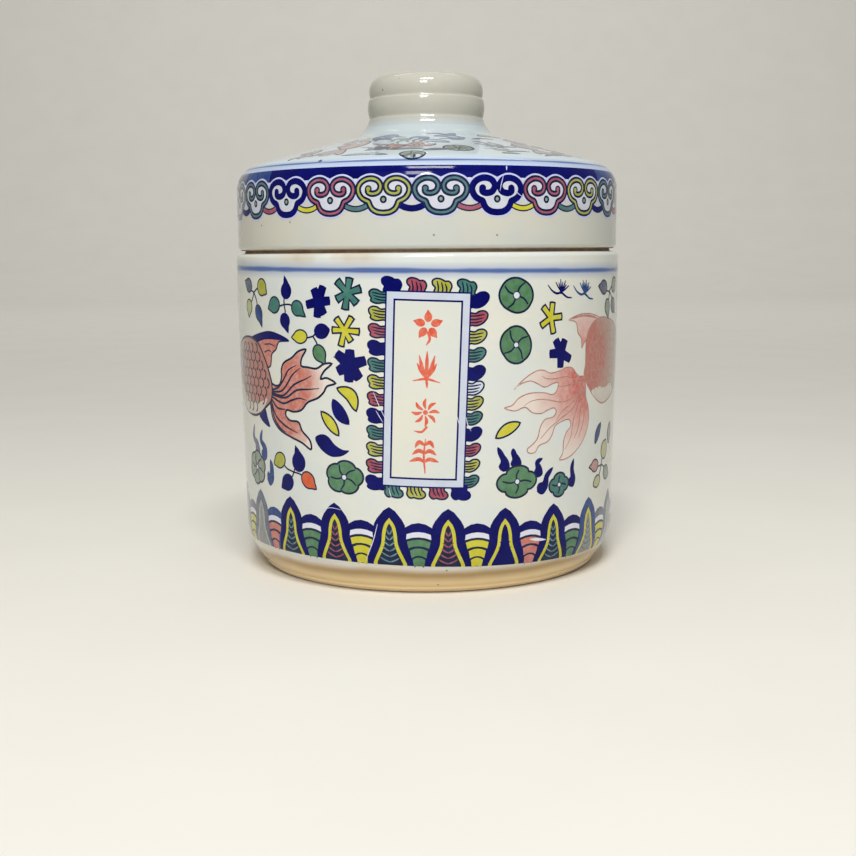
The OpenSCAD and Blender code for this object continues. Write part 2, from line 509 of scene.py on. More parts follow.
def glazed(name, ground, zones=(), ring=None, flash_at=None, spots=()):
    """Clear glaze over porcelain: a ground with cooler clouds, tints that come in from one height to
    another, a soft blue ring, a fire flash left of the front at the joint, and iron specks."""
    material, tree, shader = shader_tree(name)
    where = place_in_mm(tree)
    across, _, z = along(tree, where)
    cloud = noise(tree, where, 22, 3.0, 0.55)
    drift = math_node(tree, "MULTIPLY", math_node(tree, "SUBTRACT", cloud, 0.5), 2.0)
    level = math_node(tree, "ADD", z, drift)
    cool = tuple(g * c / b for g, c, b in zip(ground, GLAZE_COOL, GLAZE))
    colour = blend_colour(tree, ramp(tree, cloud, 0.35, 0.65), ground, cool)
    for low, high, tint in zones:
        colour = blend_colour(tree, ramp(tree, level, low, high), colour, tint)
    if ring:
        height, tilt, width, strength = ring
        drawn = math_node(tree, "ADD", z, math_node(tree, "MULTIPLY", across, tilt))
        off = math_node(tree, "ABSOLUTE", math_node(tree, "SUBTRACT", drawn, height))
        edge = ramp(tree, noise(tree, where, 14, 2.0), 0.35, 0.65, width * 0.85, width * 1.25)
        colour = laid(tree, colour, ramp(tree, off, width, width * 4, 1.0, 0.0), BLUE_HALO, 0.85)
        past = math_node(tree, "SUBTRACT", off, edge)
        core = ramp(tree, past, -0.6 * width, 0.3 * width, 1.0, 0.0)
        colour = laid(tree, colour, core, BLUE_LINE, strength)
    if flash_at:
        height_off = math_node(tree, "ABSOLUTE", math_node(tree, "SUBTRACT", z, flash_at))
        burnt = ramp(tree, height_off, *FLASH_REACH, 1.0, 0.0)
        patches = ramp(tree, noise(tree, where, 18, 3.0), 0.34, 0.62)
        right, left = ramp(tree, across, *FLASH_RIGHT), ramp(tree, across, *FLASH_LEFT)
        stretch = math_node(tree, "MULTIPLY", right, left)
        colour = laid(tree, colour, math_node(tree, "MULTIPLY", burnt, patches), FLASH, stretch)
    colour = laid(tree, colour, specks(tree, where, 13, 0.22, 0.12), IRON, 0.7)
    for spot in spots:
        away = add(tree, "VectorMath", {"operation": "DISTANCE"}, _0=where, _1=spot).outputs["Value"]
        colour = laid(tree, colour, ramp(tree, away, 0.12, 0.36, 1.0, 0.0), IRON, 0.85)
    tree.links.new(colour, shader.inputs["Base Color"])
    glaze_skin(tree, shader, where)
    return material


def bare_porcelain(name):
    """The unglazed seat, foot and edges: dry, faintly toasted, with a fine sandy grain. The darker toasted
    colour is deepened as painted shade for the narrow gap at the seat.
    """
    material, tree, shader = shader_tree(name)
    where = place_in_mm(tree)
    toast_and_gap_shade = ramp(tree, noise(tree, where, 7, 4.0, 0.6), 0.35, 0.7)
    grain = noise(tree, where, 0.5, 3.0)
    colour = blend_colour(tree, toast_and_gap_shade, BISQUE, (0.26, 0.16, 0.09))
    colour = blend_colour(tree, ramp(tree, grain, 0.4, 0.75, 0.0, 0.35), colour, (0.22, 0.15, 0.1))
    tree.links.new(colour, shader.inputs["Base Color"])
    tree.links.new(ramp(tree, grain, 0.3, 0.7, 0.6, 0.9), shader.inputs["Roughness"])
    bump = add(tree, "Bump", None, Strength=0.5, Distance=0.08 * MM, Height=grain)
    tree.links.new(bump.outputs[0], shader.inputs["Normal"])
    return material


def enamel(name, full, thin, grain=2.2, shine=0.5):
    """A painted or printed colour under gloss: it lies thicker and thinner as it was laid."""
    material, tree, shader = shader_tree(name)
    where = place_in_mm(tree)
    thinned = ramp(tree, noise(tree, where, grain, 3.0, 0.6), 0.35, 0.72)
    colour = blend_colour(tree, thinned, full, thin)
    dots = noise(tree, where, 0.35, 1.0)
    colour = blend_colour(tree, ramp(tree, dots, 0.62, 0.8, 0.0, 0.35), colour, thin)
    tree.links.new(colour, shader.inputs["Base Color"])
    shader.inputs["Specular IOR Level"].default_value = shine
    glaze_skin(tree, shader, where)
    return material


def wash(name, root, full, thin, reach):
    """A fish's colour: full at the root of the tail, and thinned with water towards its tips."""
    material, tree, shader = shader_tree(name)
    where = place_in_mm(tree)
    away = add(tree, "VectorMath", {"operation": "DISTANCE"}, _0=where, _1=root).outputs["Value"]
    wander = math_node(tree, "MULTIPLY", noise(tree, where, 5, 3.0, 0.6), 7.0)
    share = ramp(tree, math_node(tree, "ADD", away, wander), reach[0], reach[1])
    colour = blend_colour(tree, share, full, thin)
    streak = ramp(tree, noise(tree, where, 1.4, 3.0, 0.6), 0.4, 0.7, 0.0, 0.3)
    colour = blend_colour(tree, streak, colour, thin)
    tree.links.new(colour, shader.inputs["Base Color"])
    glaze_skin(tree, shader, where)
    return material


def spot_on_wall(s, z):
    """A place on the jar's wall, in millimetres."""
    return tuple(on_wall(np.array([[s, z]], float), 0)[0][0])


PAINT = {
    "cobalt": enamel("cobalt_enamel", (0.0005, 0.001, 0.085), (0.002, 0.004, 0.13), 4, 0.16),
    "ink": enamel("outline_ink", (0.003, 0.006, 0.035), (0.006, 0.02, 0.07), shine=0.3),
    "teal": enamel("teal_enamel", (0.036, 0.145, 0.12), (0.07, 0.20, 0.165), shine=0.4),
    "green": enamel("leaf_green_enamel", (0.06, 0.17, 0.075), (0.11, 0.24, 0.13), shine=0.4),
    "yellow": enamel("yellow_enamel", (0.52, 0.48, 0.012), (0.56, 0.54, 0.07), shine=0.4),
    "olive": enamel("olive_enamel", (0.34, 0.34, 0.035), (0.43, 0.44, 0.10), shine=0.4),
    "rose": enamel("rose_enamel", (0.29, 0.04, 0.07), (0.38, 0.10, 0.13), shine=0.4),
    "coral": enamel("coral_enamel", (0.48, 0.13, 0.10), (0.54, 0.24, 0.20)),
    "orange": enamel("orange_enamel", (0.56, 0.075, 0.018), (0.62, 0.13, 0.04)),
    "iron_red": enamel("iron_red_enamel", (0.60, 0.065, 0.025), (0.68, 0.18, 0.11), 1.2),
    "fish_line": enamel("fish_line_red", (0.36, 0.15, 0.12), (0.47, 0.30, 0.26), 1.5),
    "maroon": enamel("maroon_enamel", (0.17, 0.02, 0.05), (0.23, 0.045, 0.08), shine=0.3),
    "pale_blue": enamel("pale_blue_enamel", (0.50, 0.55, 0.67), (0.56, 0.61, 0.70), 6),
    "white": enamel("white_slip", (0.63, 0.64, 0.75), (0.68, 0.70, 0.76)),
    "lilac": enamel("lilac_slip", (0.47, 0.49, 0.75), (0.53, 0.56, 0.78)),
    "grey_slip": enamel("grey_slip", (0.54, 0.56, 0.66), (0.60, 0.62, 0.68)),
    # The blue and the greyed colours after it are the print where the wall and the lid turn away at the two
    # sides, drawn paler and greyer: a painted reflection of bright surroundings in the glaze. The muted
    # green is also the pips' own colour.
    "blue": enamel("blue_half_painted_sheen", (0.010, 0.036, 0.17), (0.03, 0.08, 0.23), shine=0.3),
    "rubbed": enamel("navy_painted_sheen", (0.085, 0.10, 0.155), (0.15, 0.17, 0.225), 1.6, 0.4),
    "rubbed_line": enamel("rubbed_line", (0.30, 0.32, 0.27), (0.42, 0.44, 0.38), 1.6, 0.4),
    "rubbed_green": enamel("rubbed_green", (0.20, 0.25, 0.18), (0.29, 0.34, 0.27), 1.6, 0.4),
    "rubbed_olive": enamel("rubbed_olive", (0.40, 0.42, 0.18), (0.48, 0.50, 0.27), 1.6, 0.4),
    "rubbed_rose": enamel("rubbed_rose", (0.40, 0.18, 0.17), (0.48, 0.30, 0.27), 1.6, 0.4),
    "rubbed_core": enamel("rubbed_core", (0.20, 0.21, 0.225), (0.27, 0.28, 0.295), 1.6, 0.4),
    "pale_belly": enamel("pale_belly_wash", (0.56, 0.50, 0.43), (0.63, 0.59, 0.52)),
    "lid_rose": enamel("lid_rose", (0.27, 0.055, 0.10), (0.36, 0.12, 0.17), shine=0.4),
    "lid_teal": enamel("lid_teal", (0.055, 0.135, 0.15), (0.10, 0.19, 0.21), shine=0.4),
    "lid_olive": enamel("lid_olive", (0.31, 0.33, 0.05), (0.39, 0.41, 0.12), shine=0.4),
    "haze_red": enamel("crown_red_wash", (0.34, 0.21, 0.205), (0.43, 0.34, 0.335)),
    "haze_navy": enamel("crown_navy_wash", (0.075, 0.085, 0.16), (0.16, 0.18, 0.28), 1.4),
    "haze_green": enamel("crown_green_wash", (0.16, 0.22, 0.19), (0.26, 0.32, 0.29), 1.4),
    "haze_grey": enamel("crown_grey_wash", (0.20, 0.18, 0.21), (0.36, 0.34, 0.38), 1.4),
    "haze_blue": enamel("crown_blue_wash", (0.24, 0.34, 0.44), (0.38, 0.47, 0.56), 1.4),
    "rose_vein": enamel("maroon_vein", (0.26, 0.04, 0.08), (0.36, 0.10, 0.13), 1.2),
    "teal_vein": enamel("teal_vein", (0.06, 0.16, 0.19), (0.16, 0.30, 0.33), 1.2),
    "cream": glazed("panel_ground", (0.675, 0.67, 0.58)),
}

# Each fish's washes: where on the wall the colour is fullest, the full colour, the thinned one, and
# the distances between which it thins
FISH_WASHES = {
    "left_fish": ((-50, 54), (0.50, 0.14, 0.10), (0.72, 0.66, 0.60), (18, 25)),
    "left_body": ((-50, 58), (0.42, 0.16, 0.125), (0.40, 0.31, 0.26), (14, 26)),
    "right_fish": ((50, 57), (0.52, 0.09, 0.07), (0.71, 0.63, 0.57), (9, 25)),
    "right_body": ((51, 61), (0.45, 0.14, 0.11), (0.42, 0.36, 0.30), (12, 22)),
}
for fish_part, (root, full, thin, reach) in FISH_WASHES.items():
    PAINT[fish_part] = wash(fish_part + "_wash", spot_on_wall(*root), full, thin, reach)


# ---------------------------------------------------------------- making pieces
def turned(name, profile):
    """A closed form as it comes off the wheel: its half outline is drawn by extrusion and spun."""
    outline = []
    for (r0, z0), (r1, z1) in zip(profile, profile[1:]):
        parts = max(1, math.ceil(math.hypot(r1 - r0, z1 - z0) / PROFILE_STEP))
        outline += [(r0 + (r1 - r0) * i / parts, z0 + (z1 - z0) * i / parts) for i in range(parts)]
    outline.append(profile[-1])
    bpy.ops.mesh.primitive_plane_add(size=MM, location=(0, 0, 0))
    obj = bpy.context.object
    obj.name = obj.data.name = name
    bpy.ops.object.mode_set(mode="EDIT")
    bpy.ops.mesh.select_all(action="SELECT")
    bpy.ops.mesh.merge(type="CENTER")
    bpy.ops.transform.translate(value=(outline[0][0] * MM, 0, outline[0][1] * MM))
    for (r0, z0), (r1, z1) in zip(outline, outline[1:]):
        step = ((r1 - r0) * MM, 0, (z1 - z0) * MM)
        bpy.ops.mesh.extrude_vertices_move(TRANSFORM_OT_translate={"value": step})
    bpy.ops.mesh.select_all(action="SELECT")
    bpy.ops.mesh.spin(steps=TURN_STEPS, angle=TAU, center=(0, 0, 0), axis=(0, 0, 1))
    bpy.ops.mesh.select_all(action="SELECT")
    bpy.ops.mesh.remove_doubles(threshold=0.002 * MM)
    bpy.ops.mesh.normals_make_consistent(inside=False)
    bpy.ops.object.mode_set(mode="OBJECT")
    bpy.ops.object.shade_smooth_by_angle(angle=math.radians(35))
    obj.select_set(False)
    return obj


def dress(obj, body, slot, *materials):
    """Gives a piece its materials and its body. The slot is not used."""
    for material in materials:
        obj.data.materials.append(material)
    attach(obj, body)
    return obj


def face_of(obj, index, test):
    """Gives one of the object's materials to the faces that pass a test of place and direction."""
    for face in obj.data.polygons:
        if test(face.center / MM, face.normal):
            face.material_index = index


ENAMEL_LIFT = 0.035
ENAMEL_T = 0.06
RUB_LIFT = 0.06


def enamel_piece(name, body, slot, sheets, lay, lift=ENAMEL_LIFT):
    """Lays cut sheets on a form as one thin closed skin of enamel."""
    spots, faces, names = [], [], []
    count = 0
    for sheet_spots, sheet_faces, sheet_names in sheets:
        used, packed = np.unique(sheet_faces, return_inverse=True)
        spots.append(sheet_spots[used])
        faces.append(packed.reshape(-1, 3) + count)
        names += sheet_names
        count += len(used)
    flat = np.vstack(spots)
    faces = np.vstack(faces)
    points, _ = lay(flat, lift)
    mesh = bpy.data.meshes.new(name)
    mesh.from_pydata((points * MM).tolist(), [], faces.tolist())
    colours = sorted(set(names))
    for colour in colours:
        mesh.materials.append(PAINT[colour])
    mesh.polygons.foreach_set("material_index", [colours.index(n) for n in names])
    obj = bpy.data.objects.new(name, mesh)
    bpy.context.scene.collection.objects.link(obj)
    bpy.context.view_layer.objects.active = obj
    obj.select_set(True)
    bpy.ops.object.mode_set(mode="EDIT")
    bpy.ops.mesh.select_all(action="SELECT")
    bpy.ops.mesh.remove_doubles(threshold=0.0005 * MM)
    bpy.ops.mesh.select_all(action="DESELECT")
    bpy.ops.object.mode_set(mode="OBJECT")
    turn_out(mesh)
    bpy.ops.object.shade_smooth()
    bpy.ops.object.modifier_add(type="SOLIDIFY")
    thickness = obj.modifiers[-1]
    thickness.thickness = ENAMEL_T * MM
    thickness.offset = -1
    bpy.ops.object.modifier_apply(modifier=thickness.name)
    bpy.ops.object.shade_smooth_by_angle(angle=math.radians(50))
    smooth_skin(obj.data)
    obj.select_set(False)
    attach(obj, body)
    return obj


def turn_out(mesh):
    """Flips any face that looks in, towards the jar's axis or down."""
    edit = bmesh.new()
    edit.from_mesh(mesh)
    for face in edit.faces:
        face.normal_update()
        if face.normal.dot(outward(face.calc_center_median())) < 0:
            face.normal_flip()
    edit.to_mesh(mesh)
    edit.free()


def outward(co):
    """The outward direction of the jar or the lid at a point near its outside."""
    r, z = math.hypot(co.x, co.y) / MM, co.z / MM
    if z < SEAT_Z:
        lean = wall_lean(np.array([r]), np.array([z]))[0]
    else:
        a = math.atan2(z - SKIRT_TOP, r - SHOULDER_X) if z > SKIRT_TOP else 0.0
        a = min(a, math.radians(CROWN_ARC)) if r > SHOULDER_X else math.radians(CROWN_ARC)
        lean = (math.cos(a), math.sin(a))
    way = Vector((co.x, co.y, 0)).normalized()
    return Vector((way.x * lean[0], way.y * lean[0], lean[1]))


def smooth_skin(mesh):
    """Gives the outer skin the true direction of the form under it, so that it shines as one surface."""
    loops = []
    for face in mesh.polygons:
        for v in face.vertices:
            way = outward(mesh.vertices[v].co)
            loops.append(way if face.normal.dot(way) > 0.8 else (0, 0, 0))
    mesh.normals_split_custom_set(loops)


# ---------------------------------------------------------------- jar, lid and knob
def jar_profile():
    """Half of the jar's section: foot ring, heel, wall, shoulder, seat, neck and inside."""
    foot_in = FOOT_R - FOOT_W
    foot = [(0, RECESS_H)]
    foot += arc(foot_in - RECESS_FILLET, RECESS_H - RECESS_FILLET, RECESS_FILLET, 90, 0, 6)
    foot += arc(foot_in + FOOT_EDGE, FOOT_EDGE, FOOT_EDGE, 180, 270, 6)
    foot += arc(FOOT_R - FOOT_EDGE, FOOT_EDGE, FOOT_EDGE, 270, 345, 6)
    leaning = [(FOOT_R + FOOT_LEAN * 0.9, FOOT_H - 1), (FOOT_R + FOOT_LEAN, FOOT_H - 0.3)]
    foot += smooth(leaning, False, 4).tolist()
    outside = arc(HEEL_X, HEEL_Z, HEEL_R, -HEEL_ANGLE, 0, 20)
    blend = np.linspace(TAPER_TOP - TAPER_BLEND, TAPER_TOP + TAPER_BLEND, 9)
    outside += list(zip(wall_r(blend).tolist(), blend.tolist()))
    outside += arc(JAR_R - JOINT_EDGE, JAR_H - JOINT_EDGE, JOINT_EDGE, 0, 90, 10)
    neck = [(SEAT_R + SEAT_SLOPE, JAR_H), (SEAT_R, SEAT_Z), (NECK_R, SEAT_Z)]
    neck += arc(NECK_R - NECK_EDGE, NECK_TOP - NECK_EDGE, NECK_EDGE, 0, 90, 8)
    neck += arc(NECK_IN_R + NECK_EDGE, NECK_TOP - NECK_EDGE, NECK_EDGE, 90, 180, 8)
    shoulder_in = JAR_R - JAR_WALL
    shoulder_low = JAR_H - SHOULDER_T - (shoulder_in - NECK_IN_R) * math.tan(math.radians(SHOULDER_SLOPE))
    inside = [(NECK_IN_R, JAR_H - SHOULDER_T), (shoulder_in, shoulder_low)]
    inside += arc(LOW_R - JAR_WALL - FLOOR_FILLET, FLOOR_Z + FLOOR_FILLET, FLOOR_FILLET, 0, -90, 10)
    return foot + outside + neck + inside + [(0, FLOOR_Z)]


def ceiling_at(r):
    """The height of the lid's inside at a distance from its axis."""
    return CROWN_Z + (CROWN_R - r) * CROWN_TAN - LID_WALL / CROWN_COS


def lid_profile():
    """Half of the lid's section, as its outside and its inside."""
    collar_z = CROWN_Z + (CROWN_R - COLLAR_R) * CROWN_TAN
    fillet_x = LID_IN_R - CEILING_FILLET
    outside = [(LID_IN_R + SKIRT_CHAMFER, SEAT_Z)]
    outside += arc(LID_R - JOINT_EDGE, SEAT_Z + JOINT_EDGE, JOINT_EDGE, 270, 360, 10)
    outside += arc(SHOULDER_X, SKIRT_TOP, LID_SHOULDER_R, 0, CROWN_ARC, 16)
    outside += bow((COLLAR_R, collar_z), (KNOB_FOOT_R, KNOB_Z), -COLLAR_SAG, 10)
    inside = [(0, ceiling_at(CEILING_R)), (CEILING_R, ceiling_at(CEILING_R))]
    fillet_z = ceiling_at(fillet_x) - CEILING_FILLET / CROWN_COS
    inside += arc(fillet_x, fillet_z, CEILING_FILLET, CROWN_ARC, 0, 8)
    inside += [(LID_IN_R, SEAT_Z + SKIRT_CHAMFER), (LID_IN_R + SKIRT_CHAMFER, SEAT_Z)]
    return outside + [(0, KNOB_Z)], inside


# The ledges between the knob's rolls, and how far they lie under the groove's height
NOTCH = 0.25
GROOVE_DROP = 0.7


def knob_profile():
    """The ring's outline: each roll ends in a small ledge over a notch, and the top roll swells."""
    well_r = TOP_ROLL_R - KNOB_WALL
    lip = KNOB_WALL - KNOB_EDGE
    low, high = FLARE_TOP - GROOVE_DROP, MIDDLE_TOP - GROOVE_DROP
    outside = [(0, KNOB_Z)]
    outside += bow((KNOB_FOOT_R, KNOB_Z), (GROOVE_R + NOTCH, low - NOTCH), -FLARE_SAG, 6)
    outside += [(GROOVE_R + 0.4 * NOTCH, low), (GROOVE_R, low + NOTCH)]
    outside += bow((GROOVE_R, low + 2 * NOTCH), (GROOVE_R + NOTCH, high - NOTCH), GROOVE_D * 0.8, 10)
    outside += [(TOP_ROLL_R - 0.4 * NOTCH, high), (TOP_ROLL_R - NOTCH, high + NOTCH)]
    outside += bow((TOP_ROLL_R - NOTCH, high + 2 * NOTCH), (TOP_ROLL_R, high + 2), 0.06, 4)
    outside += arc(TOP_ROLL_R - KNOB_EDGE, KNOB_TOP - KNOB_EDGE, KNOB_EDGE, 0, 90, 12)
    well = arc(well_r + lip, KNOB_TOP - lip, lip, 90, 180, 8)
    well += arc(well_r - WELL_FILLET, WELL_FLOOR + WELL_FILLET, WELL_FILLET, 0, -90, 8)
    return outside + well + [(0, WELL_FLOOR)]


def on_lid(s, z):
    """A place on the lid's skirt, in millimetres."""
    return tuple(around(np.array([s / JAR_R]), LID_R, np.array([z]), 0, np.array([[1.0, 0.0]]))[0][0])


# A zone's tint starts at its first height and is full at its second. A ring has its height, how
# much it tilts across the jar, half its width and its strength
BARE = bare_porcelain("bare_porcelain")
INNER = glazed("inner_glaze", GLAZE)
# Low on the jar the tints are partly painted light: the cream from 9 down to 7.6 is the glaze's own cream
# with a painted warm reflection in it, the dark tan from 7.6 down to 6 is a painted dark reflection and
# shade on the heel's underside, and the pale tan below 5.4, warmer again on the foot ring below 1.6, is a
# painted warm reflection
JAR_GLAZE = glazed(
    "jar_glaze", GLAZE,
    [
        (9, 7.6, (0.68, 0.63, 0.56)), (7.6, 6.0, (0.42, 0.285, 0.125)),
        (5.4, 3.4, (0.76, 0.58, 0.32)), (1.6, 0.8, (0.80, 0.60, 0.34)),
    ],
    (86.2, 0.0115, 0.62, 0.95), JAR_H - 0.6, [spot_on_wall(4.7, 7.1), spot_on_wall(2.4, 2.6)],
)
LID_GLAZE = glazed(
    "lid_glaze", GLAZE_GREY,
    [
        (104, 108, (0.60, 0.65, 0.70)), (112, 113, (0.43, 0.52, 0.70)),
        (114.3, 115, (0.51, 0.60, 0.655)), (120, 124, (0.47, 0.54, 0.56)),
    ],
    (114.25, 0.0, 0.22, 0.9), None,
    [on_lid(-40, 99), on_lid(1.7, 95.2), on_lid(-53.1, 98.4), on_lid(18.5, 95.1)],
)
KNOB_GLAZE = glazed(
    "knob_glaze", (0.47, 0.49, 0.455), [(127.4, 129.4, (0.475, 0.465, 0.40))],
    spots=[(-7.6, -14.4, 139.4), (-12.3, -11.1, 136.6)],
)


def make_jar():
    """The jar, glazed outside and in, and bare on the seat and under the foot ring."""
    jar = turned("jar_wall", jar_profile())
    dress(jar, "jar", "jar_glaze", JAR_GLAZE, BARE, INNER)
    seat_out = SEAT_R + SEAT_SLOPE

    def touched(at, normal):
        r = math.hypot(at.x, at.y)
        on_seat = abs(at.z - SEAT_Z) < 0.9 and NECK_R - 0.1 < r < seat_out
        return on_seat or (at.z < 0.45 and normal.z < -0.5)

    def inside(at, normal):
        return math.hypot(at.x, at.y) < JAR_R - JAR_WALL + 0.1 and at.z > FLOOR_Z - 0.1

    face_of(jar, 2, inside)
    face_of(jar, 1, touched)
    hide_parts("jar_body")


def make_lid():
    """The lid, glazed outside and in, and bare on its lower edge."""
    outside, inside = lid_profile()
    lid = turned("lid_cap", outside + inside)
    dress(lid, "lid", "lid_glaze", LID_GLAZE, BARE, INNER)

    def under(at, normal):
        r = math.hypot(at.x, at.y)
        return r < LID_IN_R + 0.05 and at.z < ceiling_at(max(r, CEILING_R)) + 0.1

    face_of(lid, 2, under)
    face_of(lid, 1, lambda at, normal: at.z < SEAT_Z + 0.3 and normal.z < -0.3)
    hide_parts("lid")


def make_knob():
    """The ring knob, glazed all over."""
    knob = turned("ring_knob", knob_profile())
    dress(knob, "lid", "knob_glaze", KNOB_GLAZE)
    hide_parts("lid_knob")


# ---------------------------------------------------------------- motifs, each drawn about its own centre
def rays(count, turn):
    """Directions that stand evenly round a centre."""
    return [turn + 360 * k / count for k in range(count)]


def star(directions, reach, waist=0.62, tip=1.05, uneven=0.1):
    """A blossom of flat-ended rays that widen outwards, one to each direction."""
    out = []
    for k, aim in enumerate(directions):
        back = directions[k - 1] - (360 if k == 0 else 0)
        half_gap = math.radians(aim - back) / 2
        out.append(polar(waist / math.sin(half_gap), (aim + back) / 2))
        long = reach * (1 + uneven * math.sin(2.6 * k + directions[0]))
        way = Vector(polar(1, aim))
        side = Vector((-way.y, way.x)) * tip
        out += [tuple(way * long - side), tuple(way * long * 1.04), tuple(way * long + side)]
    return np.array(out)


def starred(colour, directions, *form):
    """A star blossom in its colour, inked unless it is cobalt."""
    return filled(colour, star(directions, *form), 0.5, 0)


def leaf(r, aim, nib=0.55, hook=0.0, slim=1.0):
    """A round leaf with a small point, which may hook to one side."""
    a = math.radians(aim)
    out = []
    for i in range(28):
        t = TAU * i / 28
        off = (t + math.pi) % TAU - math.pi
        point = nib * math.exp(-((off / 0.33) ** 2))
        x = r * (math.cos(t) + point)
        y = r * (slim * math.sin(t) + hook * point)
        out.append((x * math.cos(a) - y * math.sin(a), x * math.sin(a) + y * math.cos(a)))
    return np.array(out)


def sprig(leaves):
    """Leaves on thin stalks that meet: each is (colour, x, y, size, aim, nib, hook, slim)."""
    out = []
    for _, x, y, *_ in leaves:
        bent = (x * 0.45 - y * 0.08, y * 0.45 + x * 0.08)
        out.append(("ink", line([(0, 0), bent, (x * 0.8, y * 0.8)], 0.45, 1, 1)))
    for colour, x, y, r, aim, nib, hook, slim in leaves:
        out += place(filled(colour, leaf(r, aim, nib, hook, slim), 0.42, 0.2), x, y)
    return out


def blossom(petals, r, turn, eye=0.62, lobe=0.17, stretch=1.0, colour="green", vein=0.5):
    """A round water-lily flower or pad with veins from its white eye to the notches of its rim, or to
    the middles of its petals where vein is 0."""
    rim = []
    for i in range(petals * 10):
        t = TAU * i / (petals * 10)
        notch = abs(math.cos(petals * (t - math.radians(turn)) / 2)) ** 0.6
        rho = r * (1 - lobe + lobe * notch) * (1 + 0.035 * math.sin(2 * t + turn))
        rim.append((rho * stretch * math.cos(t), rho * math.sin(t)))
    out = inked(colour, rim, 0.55)
    end = r * (1 - lobe) * 0.9
    for k in range(petals):
        a = turn + 360 * (k + vein) / petals
        path = [polar(0.3, a), polar(end * 0.55, a + 7), polar(end, a - 6)]
        path = [(x * stretch, y) for x, y in path]
        out.append(("ink", line(path, 0.5, 1, 0.8)))
    out.append(("ink", disc(0, 0, eye + 0.28)))
    out.append(("white", disc(0, 0, eye)))
    return out


def blade(path, width, colour="cobalt"):
    """A blade of water weed: broad at its foot, and bent to a point."""
    p = smooth(path, False, 6)
    t = np.linspace(0, 1, len(p))
    half = 0.5 * width * np.sqrt(np.clip(t / 0.14, 0, 1)) * (1 - t) ** 0.6 * (1 + 0.16 * np.sin(t * 9))
    return [(colour, widened(p, half))]


def tuft(blades, reach, spread, colour):
    """A fan of short weed blades over a trailing root, about the place where they meet."""
    root = [(-1.4, 0.55), (-1.0, 0.12), (-0.5, -0.12), (0, -0.08), (0.6, -0.42), (1.15, -0.5)]
    out = [(colour, line([(x * reach, y * reach) for x, y in root], 0.62, 0.4, 0.6))]
    for k in range(blades):
        tip = polar(reach * (0.86 + 0.1 * math.cos(3.1 * k)), 78 + spread * (0.5 - k / (blades - 1)))
        bent = (tip[0] * 0.58, tip[1] * 0.5)
        out.append((colour, line([(0, -0.06 * reach), bent, tip], 0.42, 0.7, 0.6)))
    return out


def petal(length, width, bend, colour):
    """A fallen petal: a crescent with pointed ends."""
    spine = [(-length / 2, 0), (0, bend), (length / 2, 0)]
    p = smooth(spine, False, 8)
    t = np.linspace(0, 1, len(p))
    half = 0.5 * width * np.sin(math.pi * t) ** 0.7
    return filled(colour, widened(p, half), 0.5, 0.2)


# ---------------------------------------------------------------- the goldfish
def scales(body, first, last, low, high, pitch, tall, colour="ink", width=0.32):
    """Rows of scale edges inside a fish's body."""
    out = []
    rows = int((high - low) / tall)
    for i in range(rows):
        for k in range(int((last - first) / pitch)):
            x = first + (k + 0.5 * (i % 2)) * pitch
            y = low + (i + 0.5) * tall
            edge = arc(x, y, tall * 0.56, -75, 75, 5)
            if np.all(holds(body, np.array(edge))):
                out.append((colour, stroke(edge, width)))
    return out


LEFT_FISH_RISE = -0.2
LEFT_FISH_BODY = [
    (-49.9, 51.2), (-52.9, 49), (-56.9, 46.8), (-61.5, 46), (-67.4, 47), (-72.2, 50), (-76.1, 54),
    (-78.1, 57.6), (-77.1, 61.1), (-73.7, 65), (-68.4, 67.3), (-61.9, 68), (-56.1, 66.5), (-52.5, 62.5),
    (-50.3, 58.5), (-49.2, 55),
]
LEFT_FISH_TAIL = [
    (-49.6, 55.6), (-47.6, 55.3), (-45.7, 55.7), (-44.7, 57.5), (-44.5, 60.1), (-43.2, 61.9),
    (-40.1, 63.3), (-37.6, 65.1), (-34.8, 65.7), (-36.4, 63.3), (-36.6, 61.3), (-34.2, 61),
    (-31.3, 60.8), (-28.9, 62.1), (-26.5, 62.2), (-28.9, 60.2), (-30.1, 58.1), (-28.1, 58.4),
    (-25.5, 57.1), (-28.1, 56.2), (-29.3, 54.5), (-31.3, 52.9), (-34.7, 51.6), (-37.1, 49.4),
    (-40.2, 48.7), (-42.8, 49), (-43.4, 47.5), (-41.6, 46.2), (-38.4, 46), (-37.1, 43.7), (-34.4, 41.3),
    (-34.2, 38.9), (-37.4, 40.5), (-41.9, 41.8), (-46.3, 43.3), (-49.3, 46), (-50.2, 49), (-50.3, 52),
]
LEFT_FISH_RAYS = [
    [(-49.6, 54), (-46.3, 54.9), (-43.7, 57.3), (-41.6, 59.9), (-38.6, 61.3)],
    [(-49.7, 53.6), (-45.3, 53.9), (-42.7, 55.7), (-40.1, 58.7), (-37, 60.7)],
    [(-49.4, 53.2), (-44.1, 52.9), (-39.7, 56), (-35.3, 57.8), (-33.1, 58.8)],
    [(-49.5, 52.8), (-43.3, 52.3), (-38.7, 54.6), (-34.3, 55.1), (-30.7, 55.5)],
    [(-49.5, 52.2), (-44.4, 50.7), (-40.7, 51.8), (-37.7, 52.5), (-35.1, 52.1)],
    [(-49.8, 51.6), (-47, 49.3), (-43.4, 49.1)],
    [(-49.9, 51), (-47.9, 47.1), (-43.8, 44.6), (-38.8, 43)],
    [(-49.9, 50), (-48.5, 46.1), (-45.9, 43.7), (-43.5, 42.8)],
]


